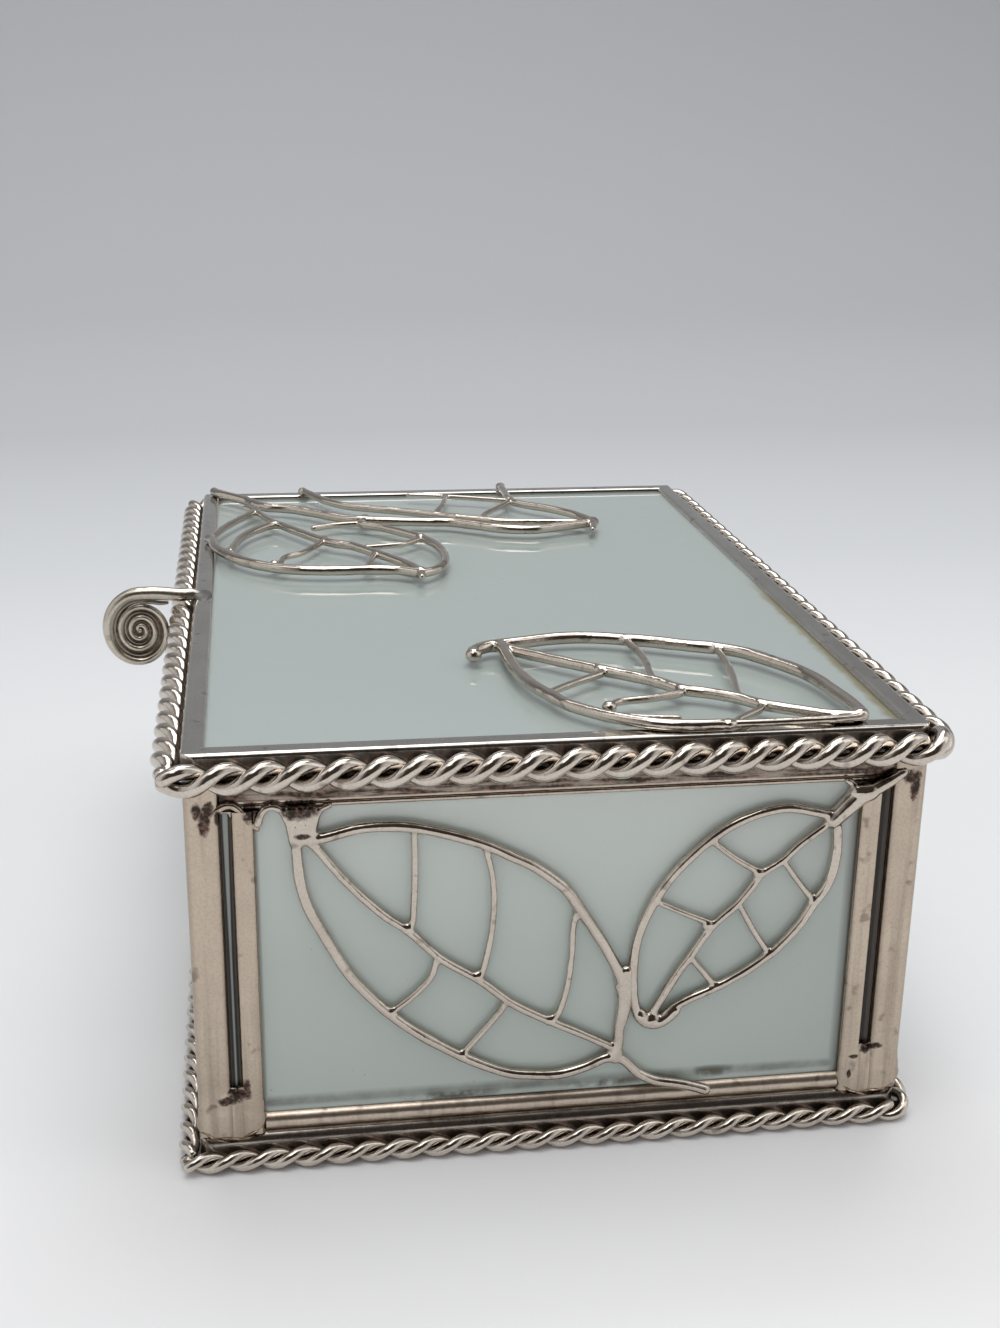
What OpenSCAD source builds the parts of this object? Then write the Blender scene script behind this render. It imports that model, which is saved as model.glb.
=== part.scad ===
// Glass casket box, 150 x 102 x 62 mm, for letters, cards and keepsakes.
// Glass panes with plated solder seams, twisted wire trims, wire leaves and a
// lid that turns on a rod in a tube behind the back wall.
// X runs along the box, -Y is the front with the finger tab, +Y is the hinge side.
// The origin is under the middle of the whole outline, on the table.

/* [Box] */
// Length of the lid and base frames
box_l = 150; // [120:1:200]
// Depth of the lid and base frames, front to back
box_w = 101.6; // [90:0.1:140]
// Height of the walls, from the base frame to the rim
wall_h = 52.8; // [40:0.1:90]
// Thickness of every glass pane
glass_t = 3; // [2:0.1:4]
// Radius of the frames' outer corners
frame_corner_r = 2; // [1:0.1:3]

/* [Base] */
// Height of the base frame
base_h = 5; // [4.6:0.1:8]
// Width of the base frame, from its outer face inwards
base_bar_w = 5; // [4.8:0.1:8]
// Depth of the groove that holds the base pane
base_groove = 1.5; // [1:0.1:2.5]

/* [Walls] */
// How far the walls stand in from the frames
wall_inset = 0.1; // [0.05:0.05:1]
// Width of a corner post
post_w = 4.65; // [4:0.05:5.5]
// Radius of a post's outer corner
post_r = 0.9; // [0.5:0.1:2]
// How far posts, rods and rims stand out from the glass
trim_rise = 1.1; // [0.7:0.05:1.2]
// Width of the slit between a post and its rod
slit_w = 1.35; // [1:0.05:4]
// Width of a rod at the glass
rod_w = 3.15; // [2.4:0.05:4]
// Height of the solder foot that joins a rod to its post
foot_h = 7.6; // [4:0.1:12]
// How far that foot's face lies behind the post's face
foot_drop = 0.1; // [0.1:0.05:0.6]
// Radius of the solder fillet between a rod's top and the rim
fillet_r = 1.7; // [1:0.1:3]
// Height of the rim along the top of a wall
rim_h = 3.8; // [3:0.1:6]
// Width of the bead along the rim's lower edge
bead_d = 0.9; // [0.6:0.1:1.4]
// Thickness of the rim's metal above that bead
rim_t = 0.35; // [0.2:0.05:0.6]
// Thickness of the metal inside a wall
lining_t = 0.5; // [0.3:0.05:1]
// Height of the bar along the foot of a wall
foot_bar_h = 2.8; // [2:0.1:5]

/* [Lid] */
// Height of the lid frame at its outer face
lid_h = 4.2; // [4:0.1:6]
// Width of the lid frame's upper face
lid_bar_w = 3.2; // [2.4:0.1:5]
// Depth of the groove that holds the lid pane
lid_groove = 2.2; // [1.5:0.1:2.3]
// Metal under the lid pane
lid_under = 0.3; // [0.2:0.05:0.5]
// Gap between the closed lid and the rim
lid_gap = 0.3; // [0.2:0.05:0.6]

/* [Twisted trims] */
// Overall diameter of the lid's twisted trim
lid_rope_d = 4.1; // [3:0.1:5]
// Length of one full turn of the lid's trim
lid_rope_pitch = 10.3; // [8:0.1:16]
// Overall diameter of the base's twisted trim
base_rope_d = 3.1; // [2.4:0.1:4]
// Length of one full turn of the base's trim
base_rope_pitch = 9; // [7:0.1:14]
// How deep the two strands press into one another, as a share of their radius
strand_sink = 0.06; // [0.04:0.01:0.12]

/* [Leaves] */
// Diameter of a leaf's outline wire
outline_d = 1.5; // [1:0.1:2]
// Diameter of a leaf's midrib
midrib_d = 1.2; // [0.8:0.1:1.6]
// Diameter of a leaf's side ribs
rib_d = 0.9; // [0.6:0.1:1.2]
// Diameter of the lid leaves' outline wire
lid_wire_d = 1.7; // [1.2:0.1:2.2]

/* [Finger tab] */
// Place of the tab along the front, from the middle
tab_x = 2; // [-40:1:40]
// Diameter of the tab's wire where it leaves the spiral
tab_wire_d = 2.2; // [1.6:0.1:2.6]
// Turns of the tab's spiral
tab_turns = 3.25; // [2.25:1:4.25]
// Distance from the spiral's heart to its outermost turn, on the far side from the lid
tab_r = 5.25; // [5:0.05:8]
// Height of the spiral for a width of 1
tab_rise = 1.13; // [1:0.01:1.2]
// Gap between the spiral and the lid's trim
tab_gap = 0.2; // [0.1:0.05:1]

/* [Hinge] */
// Outer diameter of the hinge tube
tube_d = 2.5; // [2:0.1:3]
// Diameter of the rod that turns in the tube
pin_d = 1.3; // [0.8:0.1:1.5]
// Clearance all round the rod in the tube
pin_gap = 0.05; // [0.02:0.01:0.1]
// Length of the hinge tube
tube_l = 116; // [60:1:118]
// Gap between moving metal at the hinge
hinge_gap = 0.3; // [0.2:0.05:0.6]

/* [Hidden] */
$fn = 48;
// Gap between soldered neighbours, a film of solder
film = 0.05;
// Rings of corners along one turn of a trim's strand
rings_per_turn = 5;

body_l = box_l - 2 * wall_inset;
body_w = box_w - 2 * wall_inset;
rim_z = base_h + wall_h;
lid_z = rim_z + lid_gap;
lid_top = lid_z + lid_h;
pane_in = wall_inset + trim_rise;
edge_r = 0.8 * trim_rise;

// Radius and height of the trims' middle lines
lid_rope_r = lid_rope_d / 2;
base_rope_r = base_rope_d / 2;
lid_rope_z = lid_z + 1.3;
base_rope_z = base_rope_r + 0.1;

// Hinge axis: behind the back wall, clear under the lid's trim
pin_y = body_w / 2 + film + tube_d / 2;
pin_z = lid_rope_z - lid_rope_r - hinge_gap - tube_d / 2;
arm_x = tube_l / 2 + hinge_gap + pin_d / 2;

// Field of the right pane that the leaves fill, between rods, foot bar and rim
field_reach = body_w / 2 - post_w - slit_w - rod_w;
field_z = base_h + foot_bar_h;
field_h = wall_h - rim_h - foot_bar_h;

// Finger tab: heart of the spiral, and the top of its last turn. The arm leaves there
// and passes over the trim down to the lid frame.
tab_top_z = lid_rope_z + lid_rope_r + 0.6 + tab_wire_d * 0.41;
tab_cy = -(box_w / 2 + lid_rope_d + film + tab_gap + tab_r * 0.94);
tab_cz = tab_top_z - tab_turn_r(tab_turns) * tab_rise;

// The outline's reach to the front and to the back, which sets the origin
front_reach = -tab_cy + tab_r + tab_d(tab_turns - 0.25) * 0.475;
back_reach = box_w / 2 + film + lid_rope_d;
origin_shift = (front_reach - back_reach) / 2;

SIDES = ["front", "right", "back", "left"];

// ---------------------------------------------------------------- places

// Half of a rectangle's width across a side: 0 front, 1 right, 2 back, 3 left
function half(side, l, w) = side % 2 == 0 ? w / 2 : l / 2;
function run(side, l, w) = side % 2 == 0 ? l : w;

// Turns a piece drawn for the front, with its outer face at y = 0, to a side
module at_side(side, l, w) {
    rotate([0, 0, 90 * side]) translate([0, -half(side, l, w), 0]) children();
}

// Runs a section along X: its x is the depth inwards, its y is the height
module bar(length) {
    translate([-length / 2, 0, 0]) rotate([90, 0, 90]) linear_extrude(length) children();
}

// Cuts a bar's ends to 45 degrees, so that four of them close a frame
module mitred(length, height) {
    difference() {
        children();
        for (s = [-1, 1])
            translate([s * length / 2, 0, -1]) rotate([0, 0, s > 0 ? 45 : 135])
                translate([0, -20, 0]) cube([40, 40, height + 2]);
    }
}

// A block with four round upright edges
module rounded_block(l, w, r, h) {
    translate([-l / 2 + r, -w / 2, 0]) cube([l - 2 * r, w, h]);
    translate([-l / 2, -w / 2 + r, 0]) cube([l, w - 2 * r, h]);
    for (x = [-1, 1], y = [-1, 1])
        translate([x * (l / 2 - r), y * (w / 2 - r), 0]) cylinder(r = r, h = h);
}

// Moves the whole box so that the origin lies under the middle of its outline
module placed() {
    translate([0, origin_shift, 0]) children();
}

// ---------------------------------------------------------------- curves

// Points of a smooth curve through the given points, with n steps between two
function curve(points, n = 3) = [
    for (i = [0 : len(points) - 2])
        let (a = points[max(i - 1, 0)], b = points[i], c = points[i + 1],
             d = points[min(i + 2, len(points) - 1)])
        for (k = [0 : i == len(points) - 2 ? n : n - 1])
            let (t = k / n)
            (2 * b + (c - a) * t + (2 * a - 5 * b + 4 * c - d) * t * t
             + (3 * b - a - 3 * c + d) * t * t * t) / 2
];

function unit(v) = v / norm(v);
function headings(path) =
    [for (i = [0 : len(path) - 1]) path[min(i + 1, len(path) - 1)] - path[max(i - 1, 0)]];

// Faces of a tube with m rings of n corners
function tube_faces(m, n) = concat(
    [for (i = [0 : m - 2], k = [0 : n - 1]) [i * n + k, (i + 1) * n + (k + 1) % n, i * n + (k + 1) % n]],
    [for (i = [0 : m - 2], k = [0 : n - 1]) [i * n + k, (i + 1) * n + k, (i + 1) * n + (k + 1) % n]],
    [[for (k = [0 : n - 1]) k], [for (k = [n - 1 : -1 : 0]) (m - 1) * n + k]]
);

// A round wire along a path. At each point there is a direction along the wire and a
// side that its first corner points away from.
module wire(path, radii, alongs, sides, n) {
    rings = [
        for (i = [0 : len(path) - 1])
            let (t = unit(alongs[i]), u = unit(sides[i] - (sides[i] * t) * t), v = cross(t, u))
            for (k = [0 : n - 1])
                path[i] - radii[i] * (cos(360 * k / n) * u + sin(360 * k / n) * v)
    ];
    polyhedron(rings, tube_faces(len(path), n));
}

// Fits a leaf's hand-drawn point into the place the leaf fills: $fit holds the
// stretch and the shift in both directions
function fitted(p) = [p.x * $fit[0] + $fit[1], p.y * $fit[2] + $fit[3], 0];

// A wire that lies flat, from a hand-drawn list of points in its plane
module flat_wire(points, d, steps = 2, n = 5) {
    path = [for (p = curve(points, steps)) fitted(p)];
    wire(path, [for (p = path) d / 2], headings(path), [for (p = path) [0, 0, 1]], n);
}

// A thin side rib of a leaf, bent only at its points
module rib(points) {
    for (i = [1 : len(points) - 1])
        hull() for (p = [points[i - 1], points[i]])
            translate(fitted(p)) sphere(d = rib_d * 1.2, $fn = 4);
}

// A drop of solder drawn out between points
module drop(points, d) {
    hull() for (p = points) translate(fitted(p)) sphere(d = d, $fn = 4);
}

// ---------------------------------------------------------------- base

module base_bar_section() {
    r = 1.6;
    difference() {
        union() {
            square([base_bar_w, base_h - r]);
            translate([r, 0]) square([base_bar_w - r, base_h]);
            translate([r, base_h - r]) circle(r);
        }
        translate([base_bar_w - base_groove, base_h - 1 - glass_t]) square([base_groove + 1, glass_t]);
    }
}

module base_bar(side) {
    length = run(side, box_l, box_w);
    color("gainsboro") intersection() {
        at_side(side, box_l, box_w) mitred(length, base_h) bar(length) base_bar_section();
        rounded_block(box_l, box_w, frame_corner_r, base_h);
    }
}

module base_glass() {
    margin = 2 * (base_bar_w - base_groove + film);
    color("lightcyan", 0.4)
        translate([-(box_l - margin) / 2, -(box_w - margin) / 2, base_h - 1 - glass_t + film / 2])
            cube([box_l - margin, box_w - margin, glass_t - film]);
}

// ---------------------------------------------------------------- walls

module wall_glass(side) {
    length = run(side, body_l, body_w) - 2 * (post_w + film);
    color("lightcyan", 0.4) at_side(side, box_l, box_w)
        translate([-length / 2, pane_in, base_h])
            cube([length, glass_t, wall_h - lining_t]);
}

// A corner post: a bead of solder over the panes' edges, with round long edges
module post_section() {
    translate([edge_r, edge_r]) square(post_w - edge_r);
    translate([post_r, 0]) square([post_w - edge_r - post_r, post_w / 2]);
    translate([0, post_r]) square([post_w / 2, post_w - edge_r - post_r]);
    translate([post_r, post_r]) circle(post_r);
    translate([post_w - edge_r, edge_r]) circle(edge_r);
    translate([edge_r, post_w - edge_r]) circle(edge_r);
}

module post(corner) {
    x = corner == 0 || corner == 3 ? -1 : 1;
    y = corner < 2 ? -1 : 1;
    color("gainsboro") translate([x * body_l / 2, y * body_w / 2, base_h])
        rotate([0, 0, 90 * corner]) linear_extrude(wall_h) post_section();
}

// A half-round strip on the glass, with its round side to the outside
module strip_section(width) {
    r = (width * width / 4 + trim_rise * trim_rise) / (2 * trim_rise);
    intersection() {
        translate([0, r - trim_rise]) circle(r);
        translate([-width / 2, -trim_rise]) square([width, trim_rise]);
    }
}

// A rod: a broad run of solder with round long edges
module rod_section() {
    intersection() {
        translate([-rod_w / 2, -trim_rise]) square([rod_w, trim_rise]);
        union() {
            translate([edge_r - rod_w / 2, -trim_rise]) square([rod_w - 2 * edge_r, trim_rise]);
            translate([-rod_w / 2, edge_r - trim_rise]) square([rod_w, trim_rise]);
            for (s = [-1, 1])
                translate([s * (rod_w / 2 - edge_r), edge_r - trim_rise]) circle(edge_r);
        }
    }
}

// A rod's solder foot as seen from the front, round at its top
module foot_shape(width) {
    square([width, foot_h - width / 2]);
    translate([width / 2, foot_h - width / 2]) circle(width / 2);
}

// The solder at a rod's top: an arch over the slit, and on the rod's other side a fillet
// up to the rim
module arch_shape(width, fillet) {
    difference() {
        translate([rod_w / 4, -width / 2]) square([width + rod_w / 4 - film, width / 2]);
        translate([(rod_w + width) / 2, -width / 2]) circle(width / 2 - film);
    }
    if (fillet)
        difference() {
            translate([-rod_w / 2 - fillet_r, -fillet_r]) square([fillet_r + rod_w / 4, fillet_r]);
            translate([-rod_w / 2 - fillet_r, -fillet_r]) circle(fillet_r);
        }
}

// The two upright rods of a wall, each with the solder foot that closes its slit. The
// small leaf's root takes the place of the fillet at the right end's second rod.
module rods(side) {
    edge = run(side, body_l, body_w) / 2 - post_w;
    rod_h = wall_h - rim_h - film;
    rod_x = edge - slit_w - rod_w / 2;
    color("gainsboro") at_side(side, box_l, box_w) for (s = [0, 1]) mirror([s, 0, 0])
        translate([rod_x, pane_in - film, base_h]) {
            linear_extrude(rod_h) rod_section();
            rotate([90, 0, 0]) linear_extrude(trim_rise - foot_drop - film) foot_shape(edge - film - rod_x);
            translate([0, 0, rod_h]) rotate([90, 0, 0])
                linear_extrude(trim_rise * 0.6) arch_shape(slit_w, side != 1 || s == 1);
        }
}

// The rim: metal over the top edge of a wall, with a bead along its lower edge
module rim_section() {
    front = pane_in - rim_t;
    translate([front, wall_h - rim_h + bead_d / 2]) square([rim_t, rim_h - bead_d / 2]);
    translate([front, wall_h - lining_t + film]) square([rim_t + glass_t, lining_t - film]);
    intersection() {
        translate([pane_in - bead_d * 0.2, wall_h - rim_h + bead_d / 2]) circle(bead_d / 2);
        translate([pane_in - bead_d, wall_h - rim_h]) square(bead_d);
    }
}

// The rim's inner leg, which stops short of the posts and of the next wall's
module rim_lining_section() {
    translate([pane_in + glass_t, wall_h - rim_h + 0.8]) square([lining_t, rim_h - 0.8]);
}

module rim(side) {
    length = run(side, body_l, body_w) - 2 * (post_w + film);
    corner = max(pane_in + glass_t + lining_t, wall_inset + post_w);
    lining_l = run(side, box_l, box_w) - 2 * (corner + film);
    color("gainsboro") at_side(side, box_l, box_w) translate([0, 0, base_h]) {
        bar(length) rim_section();
        bar(lining_l) rim_lining_section();
    }
}

module foot_bar(side) {
    length = run(side, body_l, body_w) - 2 * (post_w + slit_w + rod_w + film);
    color("gainsboro") at_side(side, box_l, box_w)
        translate([0, pane_in - film, base_h + foot_bar_h / 2])
            rotate([0, 90, 0]) translate([0, 0, -length / 2]) linear_extrude(length)
                strip_section(foot_bar_h);
}

// ---------------------------------------------------------------- lid

module lid_bar_section() {
    r = 0.7;
    difference() {
        union() {
            square([lid_bar_w, lid_h - r]);
            translate([r, 0]) square([lid_bar_w - 2 * r, lid_h]);
            translate([r, lid_h - r]) circle(r);
            translate([lid_bar_w - r, lid_h - r]) circle(r);
        }
        translate([lid_bar_w - lid_groove, lid_under]) square([lid_groove + 1, glass_t]);
    }
}

module lid_bar(side) {
    length = run(side, box_l, box_w);
    color("gainsboro") translate([0, 0, lid_z]) intersection() {
        at_side(side, box_l, box_w) mitred(length, lid_h) bar(length) lid_bar_section();
        rounded_block(box_l, box_w, frame_corner_r, lid_h);
    }
}

module lid_glass() {
    margin = 2 * (lid_bar_w - lid_groove + film);
    color("lightcyan", 0.4)
        translate([-(box_l - margin) / 2, -(box_w - margin) / 2, lid_z + lid_under + film / 2])
            cube([box_l - margin, box_w - margin, glass_t - film]);
}

// ---------------------------------------------------------------- twisted trims

// A two-strand trim runs round the box from the front right corner, where its two
// ends meet: along the right end, then the back, the left end and the front.
// out is its distance from the frame, turn_r the radius of its bends.
function trim_turn(out) = frame_corner_r + out;
function trim_straight(side, out) =
    run(side, box_l, box_w) - 2 * frame_corner_r
    + (side == 1 ? out + frame_corner_r : side == 0 ? frame_corner_r - film : 0);
function trim_length(side, out) =
    trim_straight(side, out) + (side == 0 ? 0 : trim_turn(out) * PI / 2);
function trim_start(side, out) =
    side == 1 ? 0 : trim_start((side + 3) % 4, out) + trim_length((side + 3) % 4, out);

// Place on a side of the trim's middle line, at s from the side's start, and the
// direction out of the box there, drawn for the front
function trim_place(side, s, out) =
    let (straight = trim_straight(side, out),
         x0 = -run(side, box_l, box_w) / 2 + frame_corner_r
              - (side == 1 ? out + frame_corner_r : 0),
         a = s <= straight ? 0 : (s - straight) / trim_turn(out) * 180 / PI,
         turn = trim_turn(out))
    [x0 + min(s, straight) + turn * sin(a), frame_corner_r - turn * cos(a), a];

// One strand of a side's run, as a list of its points, headings and leans away from
// the trim's middle line. The runs of two sides meet with a film between them.
function trim_strand(side, out, pitch, reach, phase) =
    let (length = trim_length(side, out), start = trim_start(side, out),
         n = round(length / pitch * rings_per_turn))
    [for (i = [0 : n])
        let (s = film / 2 + (length - film) * i / n, p = trim_place(side, s, out),
             f = 360 * (start + s) / pitch + phase,
             along = [cos(p.z), sin(p.z), 0], outward = [sin(p.z), -cos(p.z), 0],
             lean = cos(f) * outward + [0, 0, sin(f)],
             climb = cos(f) * [0, 0, 1] - sin(f) * outward)
        [[p.x, p.y, 0] + reach * lean, along + 2 * PI * reach / pitch * climb, lean]];

module trim(side, rope_d, pitch, z, corners) {
    wire_r = rope_d / (4 - 2 * strand_sink);
    out = rope_d / 2 + film;
    color("silver") at_side(side, box_l, box_w) translate([0, 0, z])
        for (phase = [0, 180]) {
            strand = trim_strand(side, out, pitch, wire_r * (1 - strand_sink), phase);
            wire([for (p = strand) p[0]], [for (p = strand) wire_r],
                 [for (p = strand) p[1]], [for (p = strand) p[2]], corners);
        }
}

// ---------------------------------------------------------------- leaves

// Leaves are drawn by hand in their own plane: x runs to the right as seen from
// the right end, y runs up the wall, or away from the right end on the lid.

module right_large_leaf_wires() {
    flat_wire([[-35, 49.4], [-31.5, 49.8], [-26, 50.9], [-20.5, 50.5], [-11, 47.4], [-3, 42.7],
               [3, 35.7], [7, 28.5], [8.7, 21.5], [8.2, 13.4]], outline_d);
    flat_wire([[-36, 49.5], [-35.9, 44], [-33.2, 36], [-28.3, 27.2], [-21.5, 20.3], [-14, 14.9],
               [-7, 11.8], [0, 11.2], [5, 12.5], [8.2, 13.6]], outline_d);
    flat_wire([[-34.6, 49.2], [-29.3, 42.6], [-21.5, 35.2], [-11.7, 27.2], [-2, 19.9], [7.6, 14.7]],
              midrib_d, 1);
    rib([[-20.6, 50.3], [-20.5, 43], [-21.4, 35.3]]);
    rib([[-10.7, 47.1], [-9.7, 38.5], [-11.8, 27.4]]);
    rib([[2.1, 36.8], [1.3, 29], [-1.8, 19.9]]);
    rib([[-17, 31.2], [-20, 25.6], [-24.2, 22.6]]);
    rib([[-7.2, 23.4], [-10.3, 19.4], [-14.2, 15.2]]);
}

module right_large_leaf() {
    stem_z = 7.8 + midrib_d / 2 + film;
    color("silver") on_right_wall() {
        right_large_leaf_wires();
        drop([[-37.1, 53.2], [-34.6, 53.2], [-34.9, 49.8], [-36, 49.8]], 1.5);
        drop([[-24.4, 22.7], [-23.4, 22.9]], 1.3);
        drop([[8, 14.2], [8.2, 13]], 1.9);
        flat_wire([[8.3, 13.4], [11.3, 10.8], [16, stem_z + 0.2], [19.5, stem_z]], midrib_d);
    }
}

module right_small_leaf() {
    color("silver") on_right_wall() {
        flat_wire([[38.2, 48.8], [35.2, 49.9], [31, 50.7], [25, 49.5], [20.4, 46.6], [15.5, 42],
                   [12.2, 36.4], [10.3, 29.5], [10.2, 23], [12.6, 18.8]], outline_d * 0.85);
        flat_wire([[38, 48.8], [38.5, 43], [35.9, 36], [30, 28.2], [22.5, 23.6], [12.8, 19]],
                  outline_d * 0.85);
        flat_wire([[37.8, 48.6], [31, 42.8], [27.5, 40.6], [24.6, 36.4], [20.8, 33.2], [18.2, 28.3],
                   [13.2, 20]], midrib_d * 0.85, 1);
        rib([[20.8, 45.7], [27.6, 41.1]]);
        rib([[13, 37.2], [20.6, 33.6]]);
        rib([[31.2, 42.5], [35.6, 36.3]]);
        rib([[25, 36.2], [29.7, 28.5]]);
        rib([[18.4, 28.3], [22, 23.8]]);
        flat_wire([[38, 48.8], [39.2, 51], [40.3, 53.9]], outline_d * 0.95, 1);
        drop([[27.8, 41], [27, 40.6]], 1.2);
        drop([[20.9, 33.6], [20.4, 33]], 1.2);
        drop([[12, 19.4], [13, 19.2]], 1.9);
    }
}

// Stands a leaf's plane on the outside of the right end's pane. The leaves are drawn
// for a field that reaches 41.5 to both sides, from 7.8 up to 54.
module on_right_wall() {
    $fit = [field_reach / 41.5, 0, field_h / 46.2, field_z - 7.8 * field_h / 46.2];
    translate([box_l / 2 - pane_in + outline_d / 2 + film, 0, 0]) rotate([90, 0, 90]) children();
}

// Lays a leaf's plane on the lid's frame, above the pane. The leaves are drawn for a
// lid that reaches 75 to both ends, and 50.8 to the front and the back.
module on_lid() {
    $fit = [box_w / 101.6, 0, box_l / 150, 0];
    translate([0, 0, lid_top + lid_wire_d / 2 + film]) rotate([0, 0, 90]) children();
}

module lid_near_leaf() {
    outer = lid_wire_d;
    color("silver") on_lid() {
        flat_wire([[-8, -39], [-4, -37.5], [1, -35.5], [8, -34.4], [16, -36.2], [25, -40.2], [32, -44.5],
                   [37.2, -51], [39.7, -58], [41, -66], [41, -72.6]], outer);
        flat_wire([[-4, -37.7], [-3.1, -47], [-1.6, -56], [2.2, -64.2], [8, -69.8], [15, -73.4],
                   [21, -74]], outer);
        flat_wire([[-4, -38], [3, -44.6], [10, -51.2], [19.5, -60], [28.7, -66.8], [40.6, -72.8]], outer * 0.85, 1);
        flat_wire([[25, -74], [33, -74], [40.5, -72.8]], outer * 0.6, 1);
        rib([[16.2, -36.3], [16.8, -45], [16.2, -56.6]]);
        rib([[29.2, -42.6], [28.6, -52], [26.5, -65]]);
        rib([[9.6, -51], [5, -55], [0.4, -60.5]]);
        rib([[19.4, -60.2], [11, -63.4], [6, -68]]);
        rib([[28.4, -66.8], [24, -71.5], [22.5, -74]]);
        drop([[-8.2, -39.5], [-8, -42]], 2.2);
        drop([[0, -60], [1, -61]], 1.8);
        drop([[20.5, -74], [24.5, -74]], 1.9);
        drop([[40.8, -71.6], [40.8, -73.4]], 2.3);
    }
}

module lid_corner_leaf() {
    outer = lid_wire_d;
    color("silver") on_lid() {
        flat_wire([[-49.2, 33.4], [-48, 26.5], [-44.5, 18.6], [-38.5, 12.3], [-30, 9], [-21, 8], [-11.5, 6.2]],
                  outer);
        flat_wire([[-11.5, 6], [-7.6, 10], [-6.2, 17.5], [-7, 25], [-9.5, 30.5], [-14, 36.8], [-19.5, 42]],
                  outer * 0.85);
        flat_wire([[-48.6, 33], [-46.4, 41], [-43, 49], [-40, 54], [-42.5, 61]], outer * 0.7);
        flat_wire([[-45, 20], [-43.6, 30], [-40, 38.6], [-36.2, 42.4], [-31.5, 35.5], [-27.3, 29],
                   [-22, 24.4], [-17, 17], [-11.8, 7]], outer * 0.8);
        flat_wire([[-40, 53.6], [-38, 48], [-36.2, 42.6]], outer * 0.7);
        rib([[-27.3, 28.8], [-31, 21.6], [-37, 12.4]]);
        rib([[-21.6, 24.2], [-15, 25], [-8.4, 29]]);
        rib([[-19.3, 20], [-20.6, 14], [-21.8, 8.2]]);
        drop([[-45, 22], [-44.6, 19.6]], 1.9);
        drop([[-27.6, 29.8], [-27, 28.4]], 1.8);
        drop([[-37.8, 12.4], [-36.2, 12.2]], 1.9);
        drop([[-11.6, 6.4], [-11.6, 3]], 2.1);
    }
}

module lid_far_leaf() {
    outer = lid_wire_d;
    color("silver") on_lid() {
        flat_wire([[-48.6, 73], [-42, 65], [-33, 58.6], [-26, 51.5], [-19, 45.6], [-10, 42.9], [-2, 41.2],
                   [5, 37], [12, 34.6], [19, 35.8], [26.2, 38.6]], outer);
        flat_wire([[-30, 72], [-22, 57.5], [-10, 50.6], [0, 45.2], [8, 41.6], [16, 40], [25.8, 38.8]],
                  outer * 0.8, 1);
        flat_wire([[26.2, 38.8], [23.6, 45.6], [19, 51.6], [12.6, 58.8], [12.6, 73]], outer * 0.85);
        rib([[12.4, 59], [3, 63.4], [-8, 66]]);
        rib([[12.4, 58.2], [8, 51], [5.2, 42.9]]);
        rib([[-0.6, 64], [-2.6, 56], [-5, 47.9]]);
        drop([[-18.8, 46.4], [-18.4, 45]], 2.2);
        drop([[12.6, 60.4], [12.6, 57.4]], 1.9);
        drop([[26.2, 39.8], [26, 36.6]], 2.2);
    }
}

// ---------------------------------------------------------------- finger tab

// Distance of the spiral's middle line from its heart, and its diameter, after a
// number of turns. The wire is thin at the heart and full at the arm.
function tab_turn_r(turns) =
    let (u = turns / (tab_turns - 0.25)) 0.35 + (tab_r - 0.35) * (0.67 * u + 0.33 * u * u);
function tab_d(turns) =
    let (u = turns / (tab_turns - 0.25)) tab_wire_d * min(1, 0.38 + 0.3 * u + 0.28 * u * u * u);

// The tab's middle line, with its radius as the last number: the spiral, then the arm
// over the trim, and its flat end on the lid frame
function tab_path() =
    let (steps = 12, front = -box_w / 2)
    concat(
        [for (i = [steps / 4 : steps * tab_turns])
            let (turns = i / steps, r = tab_turn_r(turns), b = 90 + 360 * (tab_turns - turns))
            [0, tab_cy + r * cos(b), tab_cz + tab_rise * r * sin(b), tab_d(turns) / 2]],
        [[0, tab_cy + 3, tab_top_z - 0.05, tab_wire_d * 0.48],
         [0, front - lid_rope_d / 2, lid_rope_z + lid_rope_r + film + tab_wire_d * 0.44, tab_wire_d * 0.42],
         [0, front - 0.8, lid_top + 0.35, tab_wire_d * 0.38],
         [0, front + 0.5, lid_top + film + 0.56, 0.52],
         [0, front + lid_bar_w - 0.9, lid_top + film + 0.48, 0.45]]
    );

module finger_tab() {
    path = tab_path();
    middle = [for (p = path) [p.x, p.y, p.z]];
    color("silver") translate([tab_x, 0, 0])
        wire(middle, [for (p = path) p[3]], headings(middle), [for (p = path) [1, 0, 0]], 5);
}

// ---------------------------------------------------------------- hinge

module hinge_tube() {
    color("silver") translate([-tube_l / 2, pin_y, pin_z]) rotate([0, 90, 0])
        difference() {
            cylinder(d = tube_d, h = tube_l);
            translate([0, 0, -1]) cylinder(r = pin_d / 2 + pin_gap, h = tube_l + 2);
        }
}

// The rod turns in the tube; its bent ends are soldered under the lid's trim
module hinge_rod() {
    arm_top = lid_rope_z - lid_rope_r - film;
    pad_l = lid_rope_pitch / 2 + pin_d;
    color("silver") translate([0, pin_y, pin_z]) {
        translate([-arm_x, 0, 0]) rotate([0, 90, 0]) cylinder(d = pin_d, h = 2 * arm_x);
        for (s = [-1, 1]) translate([s * arm_x, 0, 0]) {
            sphere(d = pin_d);
            cylinder(d = pin_d, h = arm_top - pin_z - pin_d / 2);
            translate([-pin_d / 2 + (s > 0 ? 0 : pin_d - pad_l), 0, arm_top - pin_z - pin_d / 2])
                rotate([0, 90, 0]) cylinder(d = pin_d, h = pad_l);
        }
    }
}

// ---------------------------------------------------------------- the box

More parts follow.
